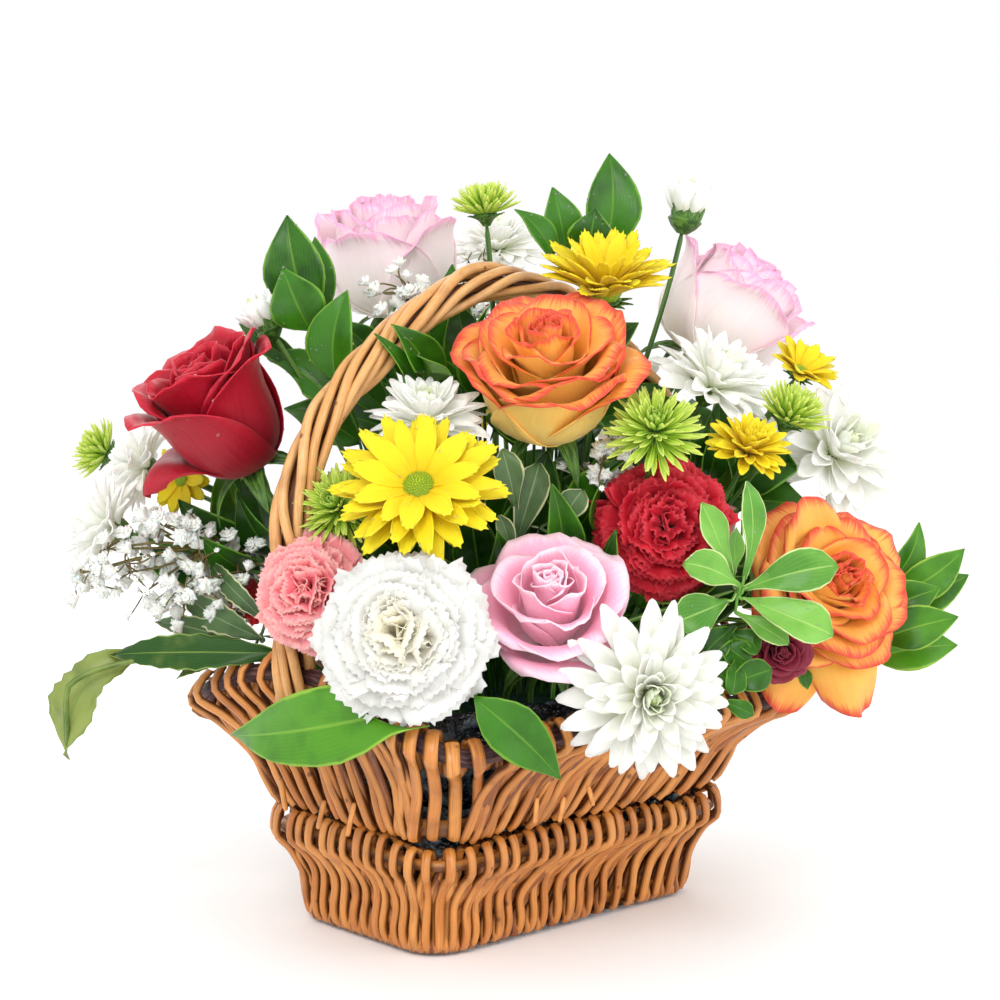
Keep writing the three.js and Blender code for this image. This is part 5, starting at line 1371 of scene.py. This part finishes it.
ownPaint = {"ruscus_right": "leaf_bright", "leaf_over_left_rim": "leaf_bright", "leaf_long_left": "leaf_olive"}
dress(makeFillers(), leafPaints["leaf"], "leaf")
for number, (name, (form, slotName, leaves)) in enumerate(sprays.items()):
    finish = leafPaints[ownPaint.get(name, slotName)]
    dress(makeSpray(name, form, leaves, number), finish, slotName, name)
print("leaves done")


# seed, middle of the cloud, half sizes in millimetres, florets
breaths = {
    "breath_left": (7, (-146, 4, 16), (42, 34, 26), 190),
    "breath_top_left": (11, (-48, 118, 16), (17, 19, 14), 34),
    "breath_top": (5, (-14, 140, -28), (17, 19, 14), 30),
    "breath_centre": (19, (52, 48, 56), (15, 17, 12), 34),
}
# floret radii, the share of florets that stand in clumps, how far a clump spreads, twig widths
breathSet = {"sizes": [0.0012, 0.0025, 0.0031, 0.0036], "clumped": 0.78, "clump": 0.0046, "twig": 0.0011,
             "fineTwig": 0.0008, "heart": (0, 0, 0.12)}
puffSheet = sheetTemplate("puff", 14, 5)
twigSheet = sheetTemplate("twig", 4, 5)


def floretFinish():
    floret = Finish("whiteFlorets")
    cloud = floret.noise(floret.spot(), 700.0, 2.0)
    body = floret.mix(floret.band(cloud, 0.35, 0.65), tint("eceee2"), tint("ffffff"))
    floret.bump(cloud, 0.5, 0.0005)
    return floret.surface(Base_Color=body, Roughness=0.7, Specular_IOR_Level=0.2, Subsurface_Weight=0.2,
                          Subsurface_Scale=0.002)


twigFinish = stemFinish("breathTwig", "86803f", "4e3318")
floretWhite = floretFinish()


def ringSpots(middle, way, turn, reach, height):  # rings about a line, each as wide and as high as given
    side = unit(np.cross(way, (0.3, 0.2, 1)))
    other = np.cross(way, side)
    return (middle + side * (np.cos(turn) * reach)[..., None] + other * (np.sin(turn) * reach)[..., None]
            + way * height[..., None])


def floretSpots(middle, way, size, rng):  # a small puff of seven ruffled petals
    u, v = sheetShares(puffSheet)
    turn = u * math.pi
    ruffle = 1 + 0.2 * np.cos(7 * turn) * np.sin(v * math.pi) + rng.uniform(-0.12, 0.12, u.shape)
    ruffle[:, -1] = ruffle[:, 0]
    reach = size * spread(v, (0.14, 0.6, 1.1, 0.95, 0.6, 0.08)) * ruffle
    height = size * spread(v, (-0.8, -0.25, 0.2, 0.5, 0.34, 0.2)) + size * 0.9 * (ruffle - 1)
    return ringSpots(middle, way, turn, reach, height)


def inCloud(middle, half, turn, level, share):  # a place in the cloud: round it, up it and out from its middle
    reach = math.sqrt(1 - level ** 2) * share[0]
    return placeOf((middle[0] + half[0] * math.cos(turn) * reach, middle[1] + half[1] * level * share[1],
                    middle[2] + half[2] * math.sin(turn) * reach))


def makeBreath(name, seed, middle, half, count):
    rng = np.random.default_rng(seed)
    hub = heart + (placeOf(middle) - heart) * 0.9 + (0, 0, 0.011)
    path = stemPath(hub, -unit(hub - stemSet["heart"]), stemHole(name))
    stalks = [rodCopy(stemSheet, path, (0.001, 0.0016, 0.0018))]
    florets, knots = [], []
    for k in range(max(5, count // 7)):
        turn, level = rng.uniform(0, 2 * math.pi), rng.uniform(-0.9, 0.8)
        knots.append(clearOfHeads(inCloud(middle, half, turn, level, (rng.uniform(0.5, 0.95), 0.8)), 0.002))
        start = nearestOn(path[:-2], knots[-1])
        bend = (start + knots[-1]) / 2 + rng.uniform(-0.003, 0.003, 3)
        stalks.append(rodCopy(twigSheet, [start, bend, knots[-1]], breathSet["twig"], rng.uniform(0, 1)))
    for k in range(count):
        turn, level = rng.uniform(0, 2 * math.pi), rng.uniform(-1, 1)
        deep = rng.uniform(0.5, 1.0)
        spot = inCloud(middle, half, turn, level, (deep, deep))
        if rng.uniform() < breathSet["clumped"]:
            spot = knots[rng.integers(len(knots))] + rng.normal(0, breathSet["clump"], 3)
        spot = clearOfHeads(spot, 0.0035)
        knot = nearestOn(knots, spot)
        way = unit(unit(spot - knot) + unit(spot - breathSet["heart"]) + rng.uniform(-0.4, 0.4, 3))
        size = rng.choice(breathSet["sizes"])
        bend = (knot + spot) / 2 + rng.uniform(-0.002, 0.002, 3)
        stalks.append(rodCopy(twigSheet, [knot, bend, spot - way * size * 0.6], breathSet["fineTwig"],
                              rng.uniform(0, 1)))
        for layer in range(3 if size > 0.002 else 1):  # smaller puffs stand in the open one
            turned = unit(way + rng.uniform(-0.35, 0.35, 3) * layer)
            puff = floretSpots(spot + way * size * 0.4 * layer, turned, size * (1 - 0.26 * layer), rng)
            florets.append(copySheet(puffSheet, puff, rng.uniform(0, 1)))
    dress(seamless(stalks, name + "_twigs", 0.000005), twigFinish, "floret_white")
    dress(seamless(florets, name + "_florets", 0.00001), floretWhite, "floret_white", name)


for name, (seed, middle, half, count) in breaths.items():
    makeBreath(name, seed, middle, half, count)
print("clouds done")


# how many water drops stand on each piece
dropSet = {"rose_pink_petals": 60, "rose_red_petals": 70, "rose_orange_top_petals": 50,
           "rose_orange_right_petals": 30, "rose_blush_right_petals": 30, "ruscus_left_leaves": 70,
           "ruscus_top_leaves": 60, "ruscus_centre_leaves": 30, "daisy_yellow_front_petals": 20,
           "pittosporum_front_leaves": 30}
dropSizes = (0.00035, 0.00085)
dropSheet = sheetTemplate("drop", 9, 4)


def makeDrops():
    rng = np.random.default_rng(21)
    u, v = sheetShares(dropSheet)
    drops = []
    for pieceName, count in dropSet.items():
        mesh = bpy.data.objects[pieceName].data
        places, ways = readSpots(mesh), readSpots(mesh, "normal")
        seen = np.flatnonzero(ways @ toward > 0.35)
        for k in rng.choice(seen, count, replace=False):
            size = rng.uniform(*dropSizes)
            spots = ringSpots(places[k], ways[k], u * math.pi, size * np.sin(v * math.pi),
                              -size * 0.6 * np.cos(v * math.pi))
            drops.append(copySheet(dropSheet, spots))
    return seamless(drops, "waterDrops", 0.000005)


waterDrops = makeDrops()
waterDrops.data.materials.append(Finish("clearWater").surface(Base_Color=(1, 1, 1, 1), Roughness=0.03, IOR=1.33,
                                                              Transmission_Weight=0.9))
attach(waterDrops, "root")
print("drops done")

for template in [o for o in bpy.data.objects if "columns" in o]:
    bpy.data.objects.remove(template)
